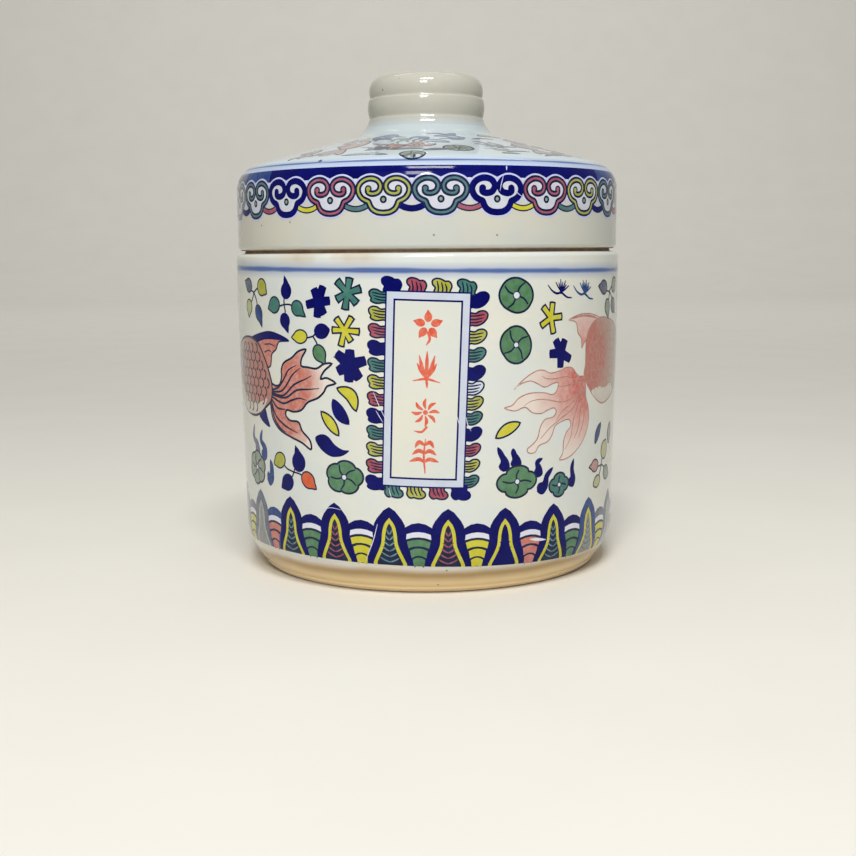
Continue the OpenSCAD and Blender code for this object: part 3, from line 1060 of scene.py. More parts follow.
def left_fish():
    """The goldfish of the left field: netted scales, a dark back fin and a four-lobed tail."""
    out = []
    back_fin = [
        (-63.4, 66.3), (-56.9, 68.5), (-50.6, 69.9), (-45.6, 69.4), (-41.3, 67.9), (-45.1, 67.4),
        (-46.6, 65.3), (-48.7, 63.8), (-49.8, 60.4), (-53.9, 61),
    ]
    out += inked("left_fish", smooth(back_fin), 0.45)
    ridge = [
        (-64.6, 66.6), (-57.9, 68.5), (-50.6, 69.8), (-45.6, 69.3), (-41.1, 67.8), (-45.6, 68.1),
        (-51.7, 68), (-58, 66.8),
    ]
    out.append(("cobalt", grow(smooth(ridge), 0.25)))
    for path in ([(-52.2, 66.4), (-49.2, 66.6), (-46.8, 66)], [(-52.4, 64.2), (-50.3, 64.8), (-48.7, 64.4)]):
        out.append(("ink", line(path, 0.35)))
    out += inked("left_fish", smooth(LEFT_FISH_TAIL, True, 4), 0.58)
    for ray in LEFT_FISH_RAYS:
        out.append(("ink", line(ray, 0.58, 1, 0.35)))
    low_fin = [(-57.5, 47.9), (-53.7, 48.8), (-52.4, 46.4), (-51.2, 43.6), (-54.2, 44.3), (-56.9, 45.9)]
    out.append(("cobalt", smooth(low_fin)))
    body = smooth(LEFT_FISH_BODY)
    out += inked("left_body", body, 0.6)
    belly = [
        (-52, 51.4), (-56, 50.2), (-62.4, 49.9), (-68, 51.2), (-72.8, 54), (-74.8, 53.6), (-71.4, 49.4),
        (-66.6, 46.7), (-60.5, 46.5), (-55.1, 48),
    ]
    out.append(("pale_belly", smooth(belly)))
    out += scales(grow(body, -0.4), -68.5, -48, 47.4, 67.6, 3.0, 2.35, width=0.52)
    out += fish_head(-68.6, -73.9, 59.8, 66, 49.2)
    return place(out, 0, LEFT_FISH_RISE)


def fish_head(gill_x, eye_x, eye_y, top, low):
    """A goldfish's cheek, eye and mouth, looking to the left."""
    gill = [(gill_x + 1.2, top), (gill_x - 1.2, eye_y), (gill_x + 0.6, low)]
    cheek = [(gill_x - 1.6, top - 1), (gill_x - 3.2, eye_y), (gill_x - 1.8, low + 1.6)]
    mouth = [(eye_x - 4.8, eye_y - 2.4), (eye_x - 3.2, eye_y - 3), (eye_x - 2.4, eye_y - 4.2)]
    out = [("ink", line(gill, 0.55, 0.7, 0.7)), ("ink", line(cheek, 0.35, 0.5, 0.5))]
    out.append(("ink", disc(eye_x, eye_y, 2.2)))
    out.append(("white", disc(eye_x, eye_y, 1.75)))
    out.append(("cobalt", disc(eye_x - 0.3, eye_y, 0.95)))
    out.append(("ink", line(mouth, 0.4)))
    return out


RIGHT_FISH_BODY = [
    (48.8, 56.9), (49.3, 60.4), (49.3, 63.9), (49.6, 67.3), (51.7, 70.7), (56.4, 72.6), (62.7, 72.3),
    (70.8, 70.3), (77.3, 66.4), (80.6, 61.4), (79.7, 57.2), (74.9, 52.7), (67.5, 49.7), (60, 48.5),
    (54.5, 50.9), (51, 54),
]
RIGHT_FISH_FIN = [
    (41.6, 72.6), (43.8, 73.4), (47.2, 74), (51.9, 73.8), (56.9, 72.6), (60.6, 70.9), (53.3, 69.2),
    (48.7, 66.3), (47.4, 64.8), (47, 67.4), (45.4, 69), (44.8, 71.4), (43.6, 72.2),
]
RIGHT_FISH_TAIL = [
    (48.6, 56.8), (46.6, 57.1), (45, 58.1), (43.5, 59.5), (41.2, 59.9), (38.5, 59.2), (35.1, 58.7),
    (32.5, 59.6), (30.1, 59.5), (26.7, 57.8), (23.4, 55.1), (25.2, 56.3), (28.2, 57), (30.5, 56.2),
    (33.1, 55.1), (36, 55.9), (37.9, 55.9), (37.4, 53.9), (35.8, 52.9), (32.7, 53.6), (28.1, 53.7),
    (24.8, 52.6), (22.8, 50.8), (20.6, 50.2), (23.6, 49.3), (26.7, 50.1), (29.1, 48.5), (32, 48.1),
    (34, 48.8), (36.4, 49.3), (37.3, 48.1), (36.1, 46.8), (33.4, 46.4), (31.8, 44.5), (31, 41.7),
    (29.4, 40), (27.6, 38.8), (28.2, 37.7), (30.1, 37.8), (31.5, 39.5), (34.3, 40.3), (35.9, 42),
    (37.1, 44.4), (40.1, 45.5), (42.5, 45.6), (43.2, 43.8), (41.4, 42.1), (40.4, 39.7), (40.2, 36.7),
    (39, 34.9), (42.9, 35.3), (47.3, 37.7), (50.4, 41), (51.8, 44.6), (51.3, 48.4), (49.9, 51.4),
    (49.8, 54),
]
RIGHT_FISH_RAYS = [
    [(48.8, 56), (45, 56.4), (41, 57.4), (36.8, 57.1), (33.7, 57.3), (31.9, 58.1)],
    [(48.6, 55.4), (44, 55.3), (40, 54.8), (37.6, 55.1)],
    [(48.2, 54.8), (43.5, 51.4), (38.9, 50.7), (33, 51.8), (29.1, 51.7), (26.5, 50.6)],
    [(48.2, 54.4), (44.5, 50.6), (39.9, 48.3), (37.3, 45.8)],
    [(48.2, 54), (43.9, 48.6), (38.9, 46.1), (34.9, 43.8), (31.9, 41.3)],
    [(48.5, 53.6), (45.3, 47.5), (44, 44.4), (43.4, 41), (41.2, 37.7)],
    [(49, 53.8), (47.3, 47.5), (46.6, 43.1), (44.8, 40.2)],
    [(49.4, 53.6), (49.5, 48), (48.6, 43.5), (46.8, 40.5)],
]


def thin_inked(colour, outline, width=0.32):
    """A colour with a thin iron-red line round it."""
    return [("fish_line", grow(outline, width / 2)), (colour, grow(outline, -width / 2))]


def right_fish():
    """The goldfish of the right field: iron-red line and wash, with a long flowing tail."""
    out = thin_inked("right_fish", smooth(RIGHT_FISH_FIN, True, 4))
    ridge = [(42.2, 72.8), (47.2, 73.5), (52.3, 73.1), (56.4, 72.2)]
    out.append(("fish_line", line(ridge, 0.6, 0.4, 0.4)))
    out += thin_inked("right_fish", smooth(RIGHT_FISH_TAIL, True, 4))
    for ray in RIGHT_FISH_RAYS:
        out.append(("fish_line", line(ray, 0.34, 1, 0.5)))
    body = smooth(RIGHT_FISH_BODY)
    out += thin_inked("right_body", body)
    belly = [
        (53, 52.6), (57.4, 53.4), (62, 52.8), (67, 53.6), (70, 51.4), (67, 49.9), (60, 48.8), (54.8, 50.8),
    ]
    out.append(("pale_belly", smooth(belly)))
    mirrored = place([("", grow(body, -0.6))], flip=True)[0][1]
    out += place(scales(mirrored, -72, -48, 53, 71, 2.4, 2.6, "fish_line"), flip=True)
    head = place(fish_head(-69.8, -75.4, 62.2, 68.8, 54.8), flip=True)
    redder = {"ink": "fish_line", "cobalt": "ink"}
    return out + [(redder.get(colour, colour), shape) for colour, shape in head]


# ---------------------------------------------------------------- the framed panel and its fringe
PANEL_W = 21.8
PANEL_H = 50.8
PANEL_AT = (-0.72, 55.35)
PANEL_TURN = -2.15
PANEL_BAND = 1.9
FLOWER_PITCH = 11.3


def box_outline(w, h):
    """A rectangle about the middle."""
    return [(-w / 2, -h / 2), (w / 2, -h / 2), (w / 2, h / 2), (-w / 2, h / 2)]


def brushed(points, width, thin_start=1.0, thin_end=0.3):
    """One stroke of a brush with iron red."""
    return ("iron_red", line(points, width, thin_start, thin_end))


def plum_flower():
    """Five round petals on a bent stalk."""
    out = []
    for a in rays(5, 90):
        out += place([("iron_red", leaf(1.15, 0, 0.5, 0.2, 0.8))], *polar(1.9, a), turn=a)
    return out + [brushed([(0, -1.6), (0.5, -3.2), (-0.3, -4.6)], 0.6)]


def grass_leaves():
    """Five leaves that rise from one root, over a line of ground."""
    out = []
    for k, long in enumerate((2.6, 3.6, 4.1, 3.6, 2.6)):
        x, y = polar(long, 150 - 30 * k)
        out.append(brushed([(0, -2.2), (x * 0.62, y * 0.4 - 0.8), (x, y)], 0.85, 0.5, 0.25))
    out.append(brushed([(-3.2, -2.8), (0, -2.3), (3.2, -3.1)], 0.6, 0.3))
    return out + [brushed([(0, -2.2), (0.2, -4.4)], 0.6)]


def curled_daisy():
    """Eight curled petals round an eye, on a short stalk."""
    out = []
    for a in rays(8, 0):
        out.append(brushed([polar(0.9, a), polar(2.1, a + 9), polar(3.2, a)], 0.8, 0.4, 0.4))
    out.append(("iron_red", disc(0, 0, 0.6)))
    return out + [brushed([(0.4, -3.4), (-0.8, -4.6), (-2.6, -4.4)], 0.55)]


def leafy_stem():
    """A stem with three pairs of leaves that droop."""
    out = []
    for side in (-1, 1):
        for k in range(3):
            y = 2.4 - 2.0 * k
            tip = (side * (2.2 + 0.6 * k), y - 0.6 + 0.35 * k)
            out.append(brushed([(0, y), (side * 1.3, y + 0.7), tip], 0.95, 0.5, 0.25))
    return out + [brushed([(0.2, 3.9), (-0.1, 0), (0.3, -4.2)], 0.5, 0.4, 0.6)]


def frill(colour, wide=3.3, reach=4.1, small=1.0):
    """One scroll of the panel's fringe, which grows from y=0 outwards: a big curl, and a second
    one as large as small says."""
    w = wide / 2
    edge = smooth([
        (-w * 0.75, -0.3), (-w * 0.8, reach * 0.3), (-w * 1.12, reach * 0.52), (-w * 1.18, reach * 0.8),
        (-w * 0.8, reach * 0.99), (-w * 0.25, reach * 0.98), (w * 0.2, reach * 0.87),
        (w * 0.56, reach * (0.72 + 0.18 * small)), (w * 0.84, reach * (0.5 + 0.28 * small)),
        (w * (0.92 + 0.08 * small), reach * (0.3 + 0.22 * small)), (w * 0.86, reach * 0.16), (w * 0.8, -0.3),
    ])
    if colour == "cobalt":
        return [("cobalt", grow(edge, 0.3))]
    out = inked(colour, edge, 0.46)
    for k in (-0.42, 0.06, 0.5):
        path = [(w * k, 0.1), (w * (k - 0.04), reach * 0.36), (w * (k - 0.26), reach * (0.74 - 0.14 * k))]
        out.append(("ink", line(path, 0.42, 1, 0.6)))
    return out


FRINGE = ["cobalt", "rose", "olive", "teal"]
LEFT_FRINGE = FRINGE[::-1] * 3
RIGHT_FRINGE = FRINGE + ["cobalt", "pale_blue", "olive", "teal"] + FRINGE


def panel():
    """The upright panel: pale band, double line, fringe of scrolls and four brush flowers."""
    w, h = PANEL_W / 2, PANEL_H / 2
    out = []
    for k, colour in enumerate(LEFT_FRINGE):
        out += place(frill(colour, reach=4.6), -w, h - 1.65 - 4.44 * k, 90, flip=True)
    for k, colour in enumerate(RIGHT_FRINGE):
        fuller = 1.1 - 0.016 * k
        fall = 4.72 * k - 0.78 * max(k - 4, 0) + 0.24 * max(k - 7, 0)
        out += place(frill(colour, 3.4 * fuller, 4.4 * fuller, 0.0), w, h - 1.9 - fall, -90)
    for k, colour in enumerate(FRINGE):
        out += place(frill(colour, 4.7, 3.4), -w + 1.3 + 6.5 * k, h, -6)
    for k, colour in enumerate(FRINGE[::-1]):
        out += place(frill(colour, 4.5, 3.3), -w + 2.7 + 6.0 * k, -h, 186)
    out.append(("cobalt", box_outline(PANEL_W + 0.5, PANEL_H + 0.5)))
    out.append(("pale_blue", box_outline(PANEL_W - 0.3, PANEL_H - 0.3)))
    out.append(("cobalt", box_outline(PANEL_W - 2 * PANEL_BAND, PANEL_H - 2 * PANEL_BAND)))
    out.append(("cream", box_outline(PANEL_W - 2 * PANEL_BAND - 1, PANEL_H - 2 * PANEL_BAND - 1)))
    for k, flower in enumerate((plum_flower, grass_leaves, curled_daisy, leafy_stem)):
        out += place(flower(), 0.1, 16.9 - FLOWER_PITCH * k, size=1.12)
    return place(out, *PANEL_AT, turn=PANEL_TURN)


def scratches():
    """Fine rubs and chips that show the glaze through the print."""
    rubs = [
        [(-14.6, 54.8), (-13, 51), (-11.2, 47.4)], [(-14, 50), (-12.2, 47)], [(7.4, 48.8), (8.1, 46.2)],
        [(-10.6, 46.4), (-10.2, 44.2)], [(-10.9, 29.6), (-10.2, 27)],
        [(9.9, 48.2), (10.3, 46.4), (11.2, 44.6)],
    ]
    return [("white", line(rub, 0.2, 0.5, 0.4)) for rub in rubs]


def border_rubs():
    """Two long rubs over the foot border left of the front, and a worn patch right of it."""
    return [
        ("white", line([(-14.2, 19.8), (-15.6, 15), (-17.9, 9.6)], 0.24, 0.4, 0.4)),
        ("white", line([(28.9, 14.2), (31.2, 13.9), (34.2, 13.5)], 0.8, 0.3, 0.3)),
        ("white", line([(-32.8, 21.6), (-28.5, 23.3), (-24.6, 23)], 0.16, 0.4, 0.4)),
    ]


def lid_chips():
    """Fine cracks in the print of the lid, right of the front."""
    cracks = [[(20.3, 110.2), (19.7, 108.2), (19.3, 106.3)], [(23.5, 106.9), (24.5, 105.7), (25.8, 104.9)]]
    out = [("lilac", line(crack, 0.22, 0.5, 0.4)) for crack in cracks]
    return out + [("lilac", line([(21.7, 112.9), (21.4, 111.7)], 0.35, 0.6, 0.4))]


# ---------------------------------------------------------------- fields of the wall
LOW_PETAL = [
    (-32.5, 42.1), (-30.9, 43.0), (-29.2, 43.0), (-27.8, 42.2), (-26.2, 40.5), (-23.9, 39.3),
    (-21.9, 39.1), (-23.6, 37.8), (-25.5, 37.3), (-27.6, 37.3), (-30.2, 38.6), (-32.0, 40.5),
]


def left_field():
    """Sprigs, stars, fallen petals and a pad between the left fish and the panel."""
    out = []
    # The sprig nearest the left side is in greyed colours: painted reflection in the glaze as the wall turns
    # away
    out += place(sprig([
        ("rubbed", -3.6, 1.9, 2.2, 160, 0.5, 0, 0.85), ("olive", 4.7, 1.5, 2.3, -35, 0.35, 0, 1.0),
        ("rubbed_olive", -3.7, -4.0, 2.0, -100, 0.5, 0, 1.0),
        ("blue", 2.6, -5.6, 2.3, -62, 0.75, -0.2, 0.8),
    ]), -57.5, 80.25)
    out += place(sprig([
        ("cobalt", 0.9, 3.6, 2.0, 84, 0.9, 0.5, 0.95), ("teal", -4.2, -0.2, 2.3, 200, 0.35, 0, 0.95),
        ("teal", 5.0, -0.9, 2.1, -40, 0.7, 0.1, 0.95), ("cobalt", 0.1, -4.3, 1.9, -75, 0.75, 0.2, 0.95),
    ]), -42.4, 77.3)
    out += scattered(
        (starred("cobalt", [5, 69, 113, 192, 262, 297], 4.0, 1.25, 1.15), -30.1, 78.2),
        (starred("teal", [16, 80, 134, 209, 260, 313], 3.9, 0.8, 1.0, 0.1), -21.3, 80.6),
        (starred("yellow", [57, 127, 180, 255, 302, 355], 3.8, 0.7, 0.85, 0.12), -22.4, 70.9),
        (starred("cobalt", [15, 88, 143, 207, 264, 307], 4.4, 1.5, 1.25), -21.1, 61.9),
    )
    out += place(sprig([
        ("yellow", -4.4, -0.2, 2.4, 186, 0.35, 0, 0.75), ("cobalt", 2.8, 1.4, 2.2, 10, 0.15, 0, 0.85),
        ("green", 1.9, -4.4, 2.3, -60, 0.45, 0.1, 0.85),
    ]), -32.2, 69.1)
    out += scattered(
        (petal(8.0, 3.2, 1.7, "yellow"), -22.3, 52.7, -47),
        (petal(7.8, 3.3, -0.5, "cobalt"), -24.1, 49.4, -54),
        (petal(8.1, 2.9, 0.2, "yellow"), -27.6, 46.1, -49),
    )
    out.append(("cobalt", smooth(LOW_PETAL)))
    out += place(sprig([
        ("olive", -6.0, 2.7, 2.5, 205, 0.25, 0, 0.85), ("cobalt", 2.0, 2.9, 2.5, 92, 0.75, 0.45, 0.95),
        ("cobalt", -2.8, -3.1, 2.4, 213, 0.35, 0, 0.9), ("orange", 5.3, -1.7, 2.5, -38, 0.45, 0, 0.85),
    ]), -40.9, 31.9)
    out += place(blossom(5, 4.65, 8, stretch=1.18), -23.6, 31.9)
    return out


def left_lotus():
    """A green lotus among weeds, low on the left."""
    # Paler and greyed colours here, near the left side: painted reflection in the glaze as the wall turns
    # away
    out = blade([(-59.2, 34.2), (-60.1, 37.7), (-62.3, 39.6), (-61.3, 43.3)], 3.2, "haze_navy")
    out += blade([(-56.1, 33.3), (-54.9, 36.9), (-57, 39.2), (-55.9, 42.3)], 3.4, "blue")
    out += blade([(-54, 28.4), (-51.7, 29.3), (-51.2, 31.9), (-51.8, 34.3)], 4.0, "blue")
    out += place(blossom(6, 5.0, 20, stretch=1.08, colour="rubbed_green"), -60.5, 31)
    return out


def right_field():
    """Pads, tufts, stars, weeds and sprigs round the right fish."""
    out = []
    out += scattered(
        (blossom(4, 4.65, 15, 0.85, 0.05, 1.05), 23.8, 79.6),
        (blossom(4, 5.0, -10, 0.6, 0.05, 0.9), 23.8, 66.7),
        (tuft(7, 3.4, 100, "cobalt"), 38.4, 80.2),
        (tuft(9, 3.6, 104, "blue"), 48.2, 79.7),
        (starred("yellow", [4, 83, 132, 211, 283], 3.95, 0.8, 0.85, 0.05), 34.8, 73.4),
        (starred("cobalt", [67, 119, 181, 269, 334], 4.05, 1.3, 1.15, 0.06), 38.6, 63.9),
        (petal(8.0, 3.0, 0.4, "yellow"), 21.7, 44.2, 27),
    )
    out += blade([(20.4, 33.2), (20.7, 35.8), (19.7, 37.9), (18.6, 40)], 3.2)
    out += blade([(24.2, 34), (24.1, 36.3), (23.4, 38), (23.2, 39.4)], 3.3)
    out += blade([(31.2, 30.8), (31.4, 33.2), (31, 35), (32.8, 36)], 3.0)
    out += blade([(31, 26.9), (33.6, 28.6), (34.4, 31), (36.6, 33.2)], 3.4)
    out += place(blossom(4, 4.3, 0, 0.6, 0.2, 1.42, vein=0), 24.6, 30.3)
    out += blade([(43, 27.2), (44.6, 29.2), (44.2, 32), (44.9, 34.7)], 3.2)
    out += place(blossom(4, 3.3, 0, 0.5, 0.2, 1.14, "teal", 0), 39, 28.1)
    # The sprigs and petals nearest the right side are in greyed colours: painted reflection in the glaze as
    # the wall turns away
    out += place(sprig([
        ("rubbed", -4.6, 1.3, 2.4, 175, 0.5, 0, 0.8), ("rubbed_green", -1.6, -4.2, 2.2, -75, 0.6, 0, 0.85),
        ("rubbed_green", 4.6, 1.8, 2.4, 30, 0.4, 0, 0.85), ("rubbed", 3.9, -3.9, 2.3, -40, 0.5, 0, 0.85),
    ]), 63.9, 79.6)
    out += place(petal(6.4, 2.4, 0.3, "blue"), 57.9, 40.2, 56)
    out += place(petal(6.0, 3.6, 0.3, "haze_grey"), 68.2, 39.2, 76)
    out += place(sprig([
        ("rubbed_rose", -4.7, 0.3, 2.2, 180, 0.6, 0.1, 0.8),
        ("rubbed_olive", 2.0, 4.0, 2.6, 60, 0.2, 0, 0.95),
        ("rubbed_olive", -3.0, -4.4, 2.2, 200, 0.15, 0, 0.75),
        ("rubbed_green", 4.4, -2.8, 2.5, -20, 0.3, 0, 0.8),
    ]), 61.1, 30.9)
    return out


BACK = math.pi * JAR_R


def back_field():
    """The back of the wall: a lotus pool with pads, weeds, blossoms and petals."""
    b = BACK
    out = []
    out += place(blossom(7, 8.6, 10, 1.2, 0.16, 1.1, "green"), b, 47)
    out += blade([(b - 6, 40), (b - 8, 34), (b - 5.6, 31), (b - 7, 27)], 2.6)
    out += blade([(b + 1, 38.6), (b + 2, 33), (b - 0.6, 30), (b + 0.8, 26.4)], 2.6)
    out += blade([(b + 7, 40), (b + 10, 36), (b + 8, 33), (b + 10, 28)], 2.4)
    for dx, z, r, turn in ((-13, 77, 5.0, 15), (13.5, 78, 5.2, 40), (14, 64.5, 4.8, 5)):
        out += place(blossom(4, r, turn, 0.75, 0.05), b + dx, z)
    out += scattered(
        (starred("teal", rays(7, 20), 4.2, 0.65, 1.0, 0.12), b, 79.6),
        (starred("yellow", rays(6, 8), 3.9, 0.6, 0.85, 0.12), b - 2, 69),
        (tuft(9, 3.6, 120, "cobalt"), b + 1, 60.4),
        (starred("cobalt", rays(7, 40), 4.3, 1.0, 1.2), b - 12.6, 65),
    )
    fallen = [
        (-15, 53, -40, "yellow"), (-18.6, 48, 58, "cobalt"), (16.4, 52.6, 35, "yellow"),
        (18.8, 46.4, -58, "cobalt"), (-16, 40, 20, "rose"), (17.6, 38.6, -25, "olive"),
    ]
    for dx, z, turn, colour in fallen:
        out += place(petal(7.4, 2.6, 0.8, colour), b + dx, z, turn)
    for side in (-1, 1):
        out += place(tuft(8, 3.4, 110, "cobalt"), b + 25 * side, 80.4)
        out += place(starred("yellow", rays(5, 20), 3.7, 0.7, 0.85, 0.1), b + 26 * side, 69.6)
        out += place(petal(7, 2.6, 0.8, "cobalt"), b + 27.5 * side, 58, 50 * side)
        out += place(petal(7, 2.6, 0.8, "olive"), b + 29 * side, 44, -50 * side)
        out += place(sprig([
            ("olive", -4.8, 2.4, 2.4, 205, 0.25, 0, 0.85), ("cobalt", 0.6, 3.6, 2.6, 112, 0.75, -0.5, 0.9),
            ("cobalt", -3.0, -2.8, 2.4, 20, 0.2, 0, 0.8), ("rose", 4.9, -2.0, 2.4, -42, 0.45, 0, 0.8),
        ]), b + 19 * side, 30.6, flip=side > 0)
    return out


def side_field(middle, flip):
    """What lies behind each fish's head: weeds, a sprig, a blossom and a pad."""
    out = []
    out += place(sprig([
        ("cobalt", 0.9, 3.6, 2.0, 78, 1.0, 0.35, 0.95), ("teal", -4.2, -0.2, 2.3, 200, 0.35, 0, 0.95),
        ("yellow", 5.0, -0.9, 2.1, -40, 0.7, 0.1, 0.95), ("cobalt", 0.1, -4.3, 1.9, -75, 0.75, 0.2, 0.95),
    ]), 0, 79)
    out += scattered(
        (starred("rose", rays(6, 30), 3.6, 0.65, 0.95), 12, 79.6),
        (blossom(5, 4.2, 12, 0.6, 0.18, 1.0, "teal"), 13.6, 66),
        (tuft(8, 3.2, 110, "cobalt"), -11.5, 80.2),
        (petal(7, 2.5, 0.8, "yellow"), 9.6, 54, 40),
        (petal(7, 2.5, 0.8, "cobalt"), 14.4, 49.6, -60),
    )
    out += blade([(-3, 33), (-4.6, 37), (-2.4, 39.6), (-3.6, 43)], 2.6)
    out += blade([(1.6, 33), (3.6, 36.6), (1.8, 39), (3.4, 42)], 2.5)
    out += blade([(6, 29), (8.6, 31), (8, 34), (9.6, 36.4)], 2.8)
    out += place(blossom(6, 4.8, 5, 0.6, 0.18, 1.1, "green"), 0, 31)
    out += place(sprig([
        ("orange", -4.6, 0.6, 2.3, 180, 0.5, 0.1, 0.8), ("olive", 1.6, 4.0, 2.4, 60, 0.2, 0, 0.95),
        ("cobalt", 4.2, -2.6, 2.4, -20, 0.3, 0, 0.8),
    ]), 17, 33)
    out += scattered(
        (blossom(4, 4.6, 30, 0.75, 0.05), -19.5, 66.6),
        (starred("yellow", rays(6, 12), 3.8, 0.6, 0.85, 0.12), -1, 65),
        (starred("cobalt", rays(6, 40), 4.0, 1.1, 1.15), -10, 58.4),
        (petal(7.4, 2.8, 1.2, "yellow"), -18, 54.4, -40),
        (petal(7.4, 2.8, -0.5, "cobalt"), -14.6, 47.8, 50),
        (petal(7, 2.6, 0.8, "rose"), 1, 52.6, 15),
    )
    out += blade([(-22.6, 30), (-24.4, 34), (-22.4, 37), (-23.6, 41)], 2.8)
    out += scattered(
        (blossom(5, 4.3, 20, 0.6, 0.18, 1.1, "teal"), -19.6, 28.4),
        (starred("teal", rays(7, 5), 3.8, 0.65, 1.0, 0.12), 25.5, 76.6),
        (petal(7.2, 2.6, 0.8, "rose"), 27, 63.6, 62),
        (petal(7, 2.6, 0.8, "yellow"), 26, 45.6, -35),
        (tuft(8, 3.4, 110, "cobalt"), 21.6, 57),
    )
    return place(out, middle, 0, flip=flip)


# ---------------------------------------------------------------- borders
LAPPETS = 22
LAPPET_PITCH = TAU * JAR_R / LAPPETS
LAPPET_PHASE = 5.05
LAPPET_FOOT = 8.5
# The bands under an arch, from its top down: the colour, the heights of the band's top and foot over
# the border's foot, and half its width at both
ARCH_BANDS = [
    ("white", 9.4, 8.0, 3.25, 3.4), ("ink", 8.0, 7.35, 3.4, 3.3), ("low", 7.35, 5.6, 3.2, 2.8),
    ("ink", 5.6, 5.0, 2.9, 2.6), ("low", 5.0, 3.0, 2.4, 2.0), ("ink", 3.0, 2.5, 2.0, 1.8),
    ("low", 2.5, 0.2, 1.7, 1.35),
]


def lappet_unit():
    """One upright leaf of the foot border, with half an arch of stacked bands on either side of it."""
    h = LAPPET_PITCH / 2
    y = LAPPET_FOOT
    rise = [(0, 0), (h, 0), (h, 11.85), (h - 1.9, 11.5), (4.3, 10.5), (3, 8), (0, 8)]
    arch = np.array([(x, y + up) for x, up in rise])
    leaf_half = [(1.6, y + 14.8), (3.5, y + 12.5), (4.3, y + 11), (4.6, y + 6), (5.9, y)]
    mirrored = [(-x, z) for x, z in leaf_half]
    out = [("arch_right", arch), ("arch_left", arch * (-1, 1))]
    out.append(("leaf_ground", np.array([(0, y + 15.8)] + leaf_half + mirrored[::-1])))
    half = [(0, 12.9), (1.35, 11.1), (2.0, 8.8), (2.25, 6.2), (2.9, 4.3), (4.0, 2.0), (4.9, 0)]
    out.append(("leaf_line", lappet_ring(half, y, 0.0)))
    out.append(("leaf_dark", lappet_ring(half, y, 0.95)))
    for k in range(6):
        low = 0.9 + 1.52 * k
        reach = 2.55 - 0.36 * k
        for side in (-1, 1):
            bent = (side * reach * 0.55, y + low + 0.45)
            vein = [(side * 0.12, y + low), bent, (side * reach, y + low + 1.15)]
            out.append(("leaf_vein", line(vein, 0.4, 0.7, 0.5, 3)))
    for side, low_colour in ((-1, "low_left"), (1, "low_right")):
        for colour, *size in ARCH_BANDS:
            out.append((low_colour if colour == "low" else colour, arch_band(side * h, y, *size)))
    return out


def lappet_ring(half, y, inset):
    """The ogee of a lappet's leaf, drawn in by an inset and cut off at the foot."""
    right = smooth(half, False, 4)
    whole = np.vstack([right[::-1], (right * (-1, 1))[1:]])
    drawn = whole + sides(whole, False) * -inset
    drawn = drawn[drawn[:, 1] > 0.15]
    foot = [(drawn[-1][0], 0.0), (drawn[0][0], 0.0)]
    return np.vstack([drawn, foot]) + (0, y)


def arch_band(middle, y, top, low, wide_top, wide_low):
    """One curved band under an arch: it crowns a little and narrows downwards."""
    crown = 0.65
    upper = [(middle + wide_top * t, y + top - crown * t * t) for t in (-1, -0.5, 0, 0.5, 1)]
    lower = [(middle + wide_low * t, y + low - crown * t * t) for t in (1, 0.5, 0, -0.5, -1)]
    return np.array(upper + lower)


LAPPET_LEAVES = ["maroon", "solid", "teal", "maroon", "teal"]
LAPPET_LOWS = ["yellow", "coral", "green", "yellow", "green"]
# Where the print is drawn paler and greyer at the two sides, a painted reflection of bright surroundings in
# the glaze as the wall turns away:
# the leaf's colour by its number, and the colour of the arch to the right of it
PAINTED_SHEEN_LEAVES = {-5: "rubbed", -4: "rubbed", 3: "blue", 4: "rubbed", 5: "rubbed"}
PAINTED_SHEEN_ARCHES = {-5: "rubbed", -4: "blue", 3: "rubbed", 4: "rubbed"}


def on_foot(spots, lift):
    """The foot border's print, which wanders from level round the jar."""
    a = spots[:, 0] / JAR_R
    sag = -0.85 * np.sin(a) - 0.4 * np.sin(2 * a) + 0.75 * (np.cos(a) - 1) - 0.1
    return on_wall(np.column_stack([spots[:, 0], spots[:, 1] + sag]), lift)


def before(k, count):
    """The number of the unit to the left of unit k, where the ring closes at the back."""
    return (k - 1 + count // 2) % count - count // 2


def lappet_border():
    """The lappets round the foot, each cut once and coloured in its turn."""
    unit = cut(lappet_unit(), 2.0, (9.8, 10.8, 11.8, 12.8, 13.8), (-LAPPET_PITCH / 2, LAPPET_PITCH / 2))
    sheets = []
    for k in range(-(LAPPETS // 2), LAPPETS - LAPPETS // 2):
        leaf_kind = LAPPET_LEAVES[k % len(LAPPET_LEAVES)]
        # Leaves and arches near the two sides take greyed colours: painted reflection in the glaze as the
        # wall turns away
        ground = PAINTED_SHEEN_LEAVES.get(k, "cobalt")
        vein = {"solid": ground, "maroon": "rose_vein", "teal": "teal_vein"}[leaf_kind]
        dark = "cobalt" if leaf_kind == "solid" else "ink"
        exchange = {
            "leaf_ground": ground,
            "arch_right": PAINTED_SHEEN_ARCHES.get(k, "cobalt"),
            "arch_left": PAINTED_SHEEN_ARCHES.get(before(k, LAPPETS), "cobalt"),
            "leaf_line": "rubbed_line" if ground == "rubbed" else "yellow",
            "leaf_dark": dark if ground == "cobalt" else "rubbed_core",
            "leaf_vein": {"cobalt": vein, "blue": "rubbed"}.get(ground, "rubbed_core"),
            "low_right": LAPPET_LOWS[k % len(LAPPET_LOWS)],
            "low_left": LAPPET_LOWS[before(k, LAPPETS) % len(LAPPET_LOWS)],
        }
        sheets.append(shifted(unit, LAPPET_PHASE + k * LAPPET_PITCH, exchange))
    return sheets


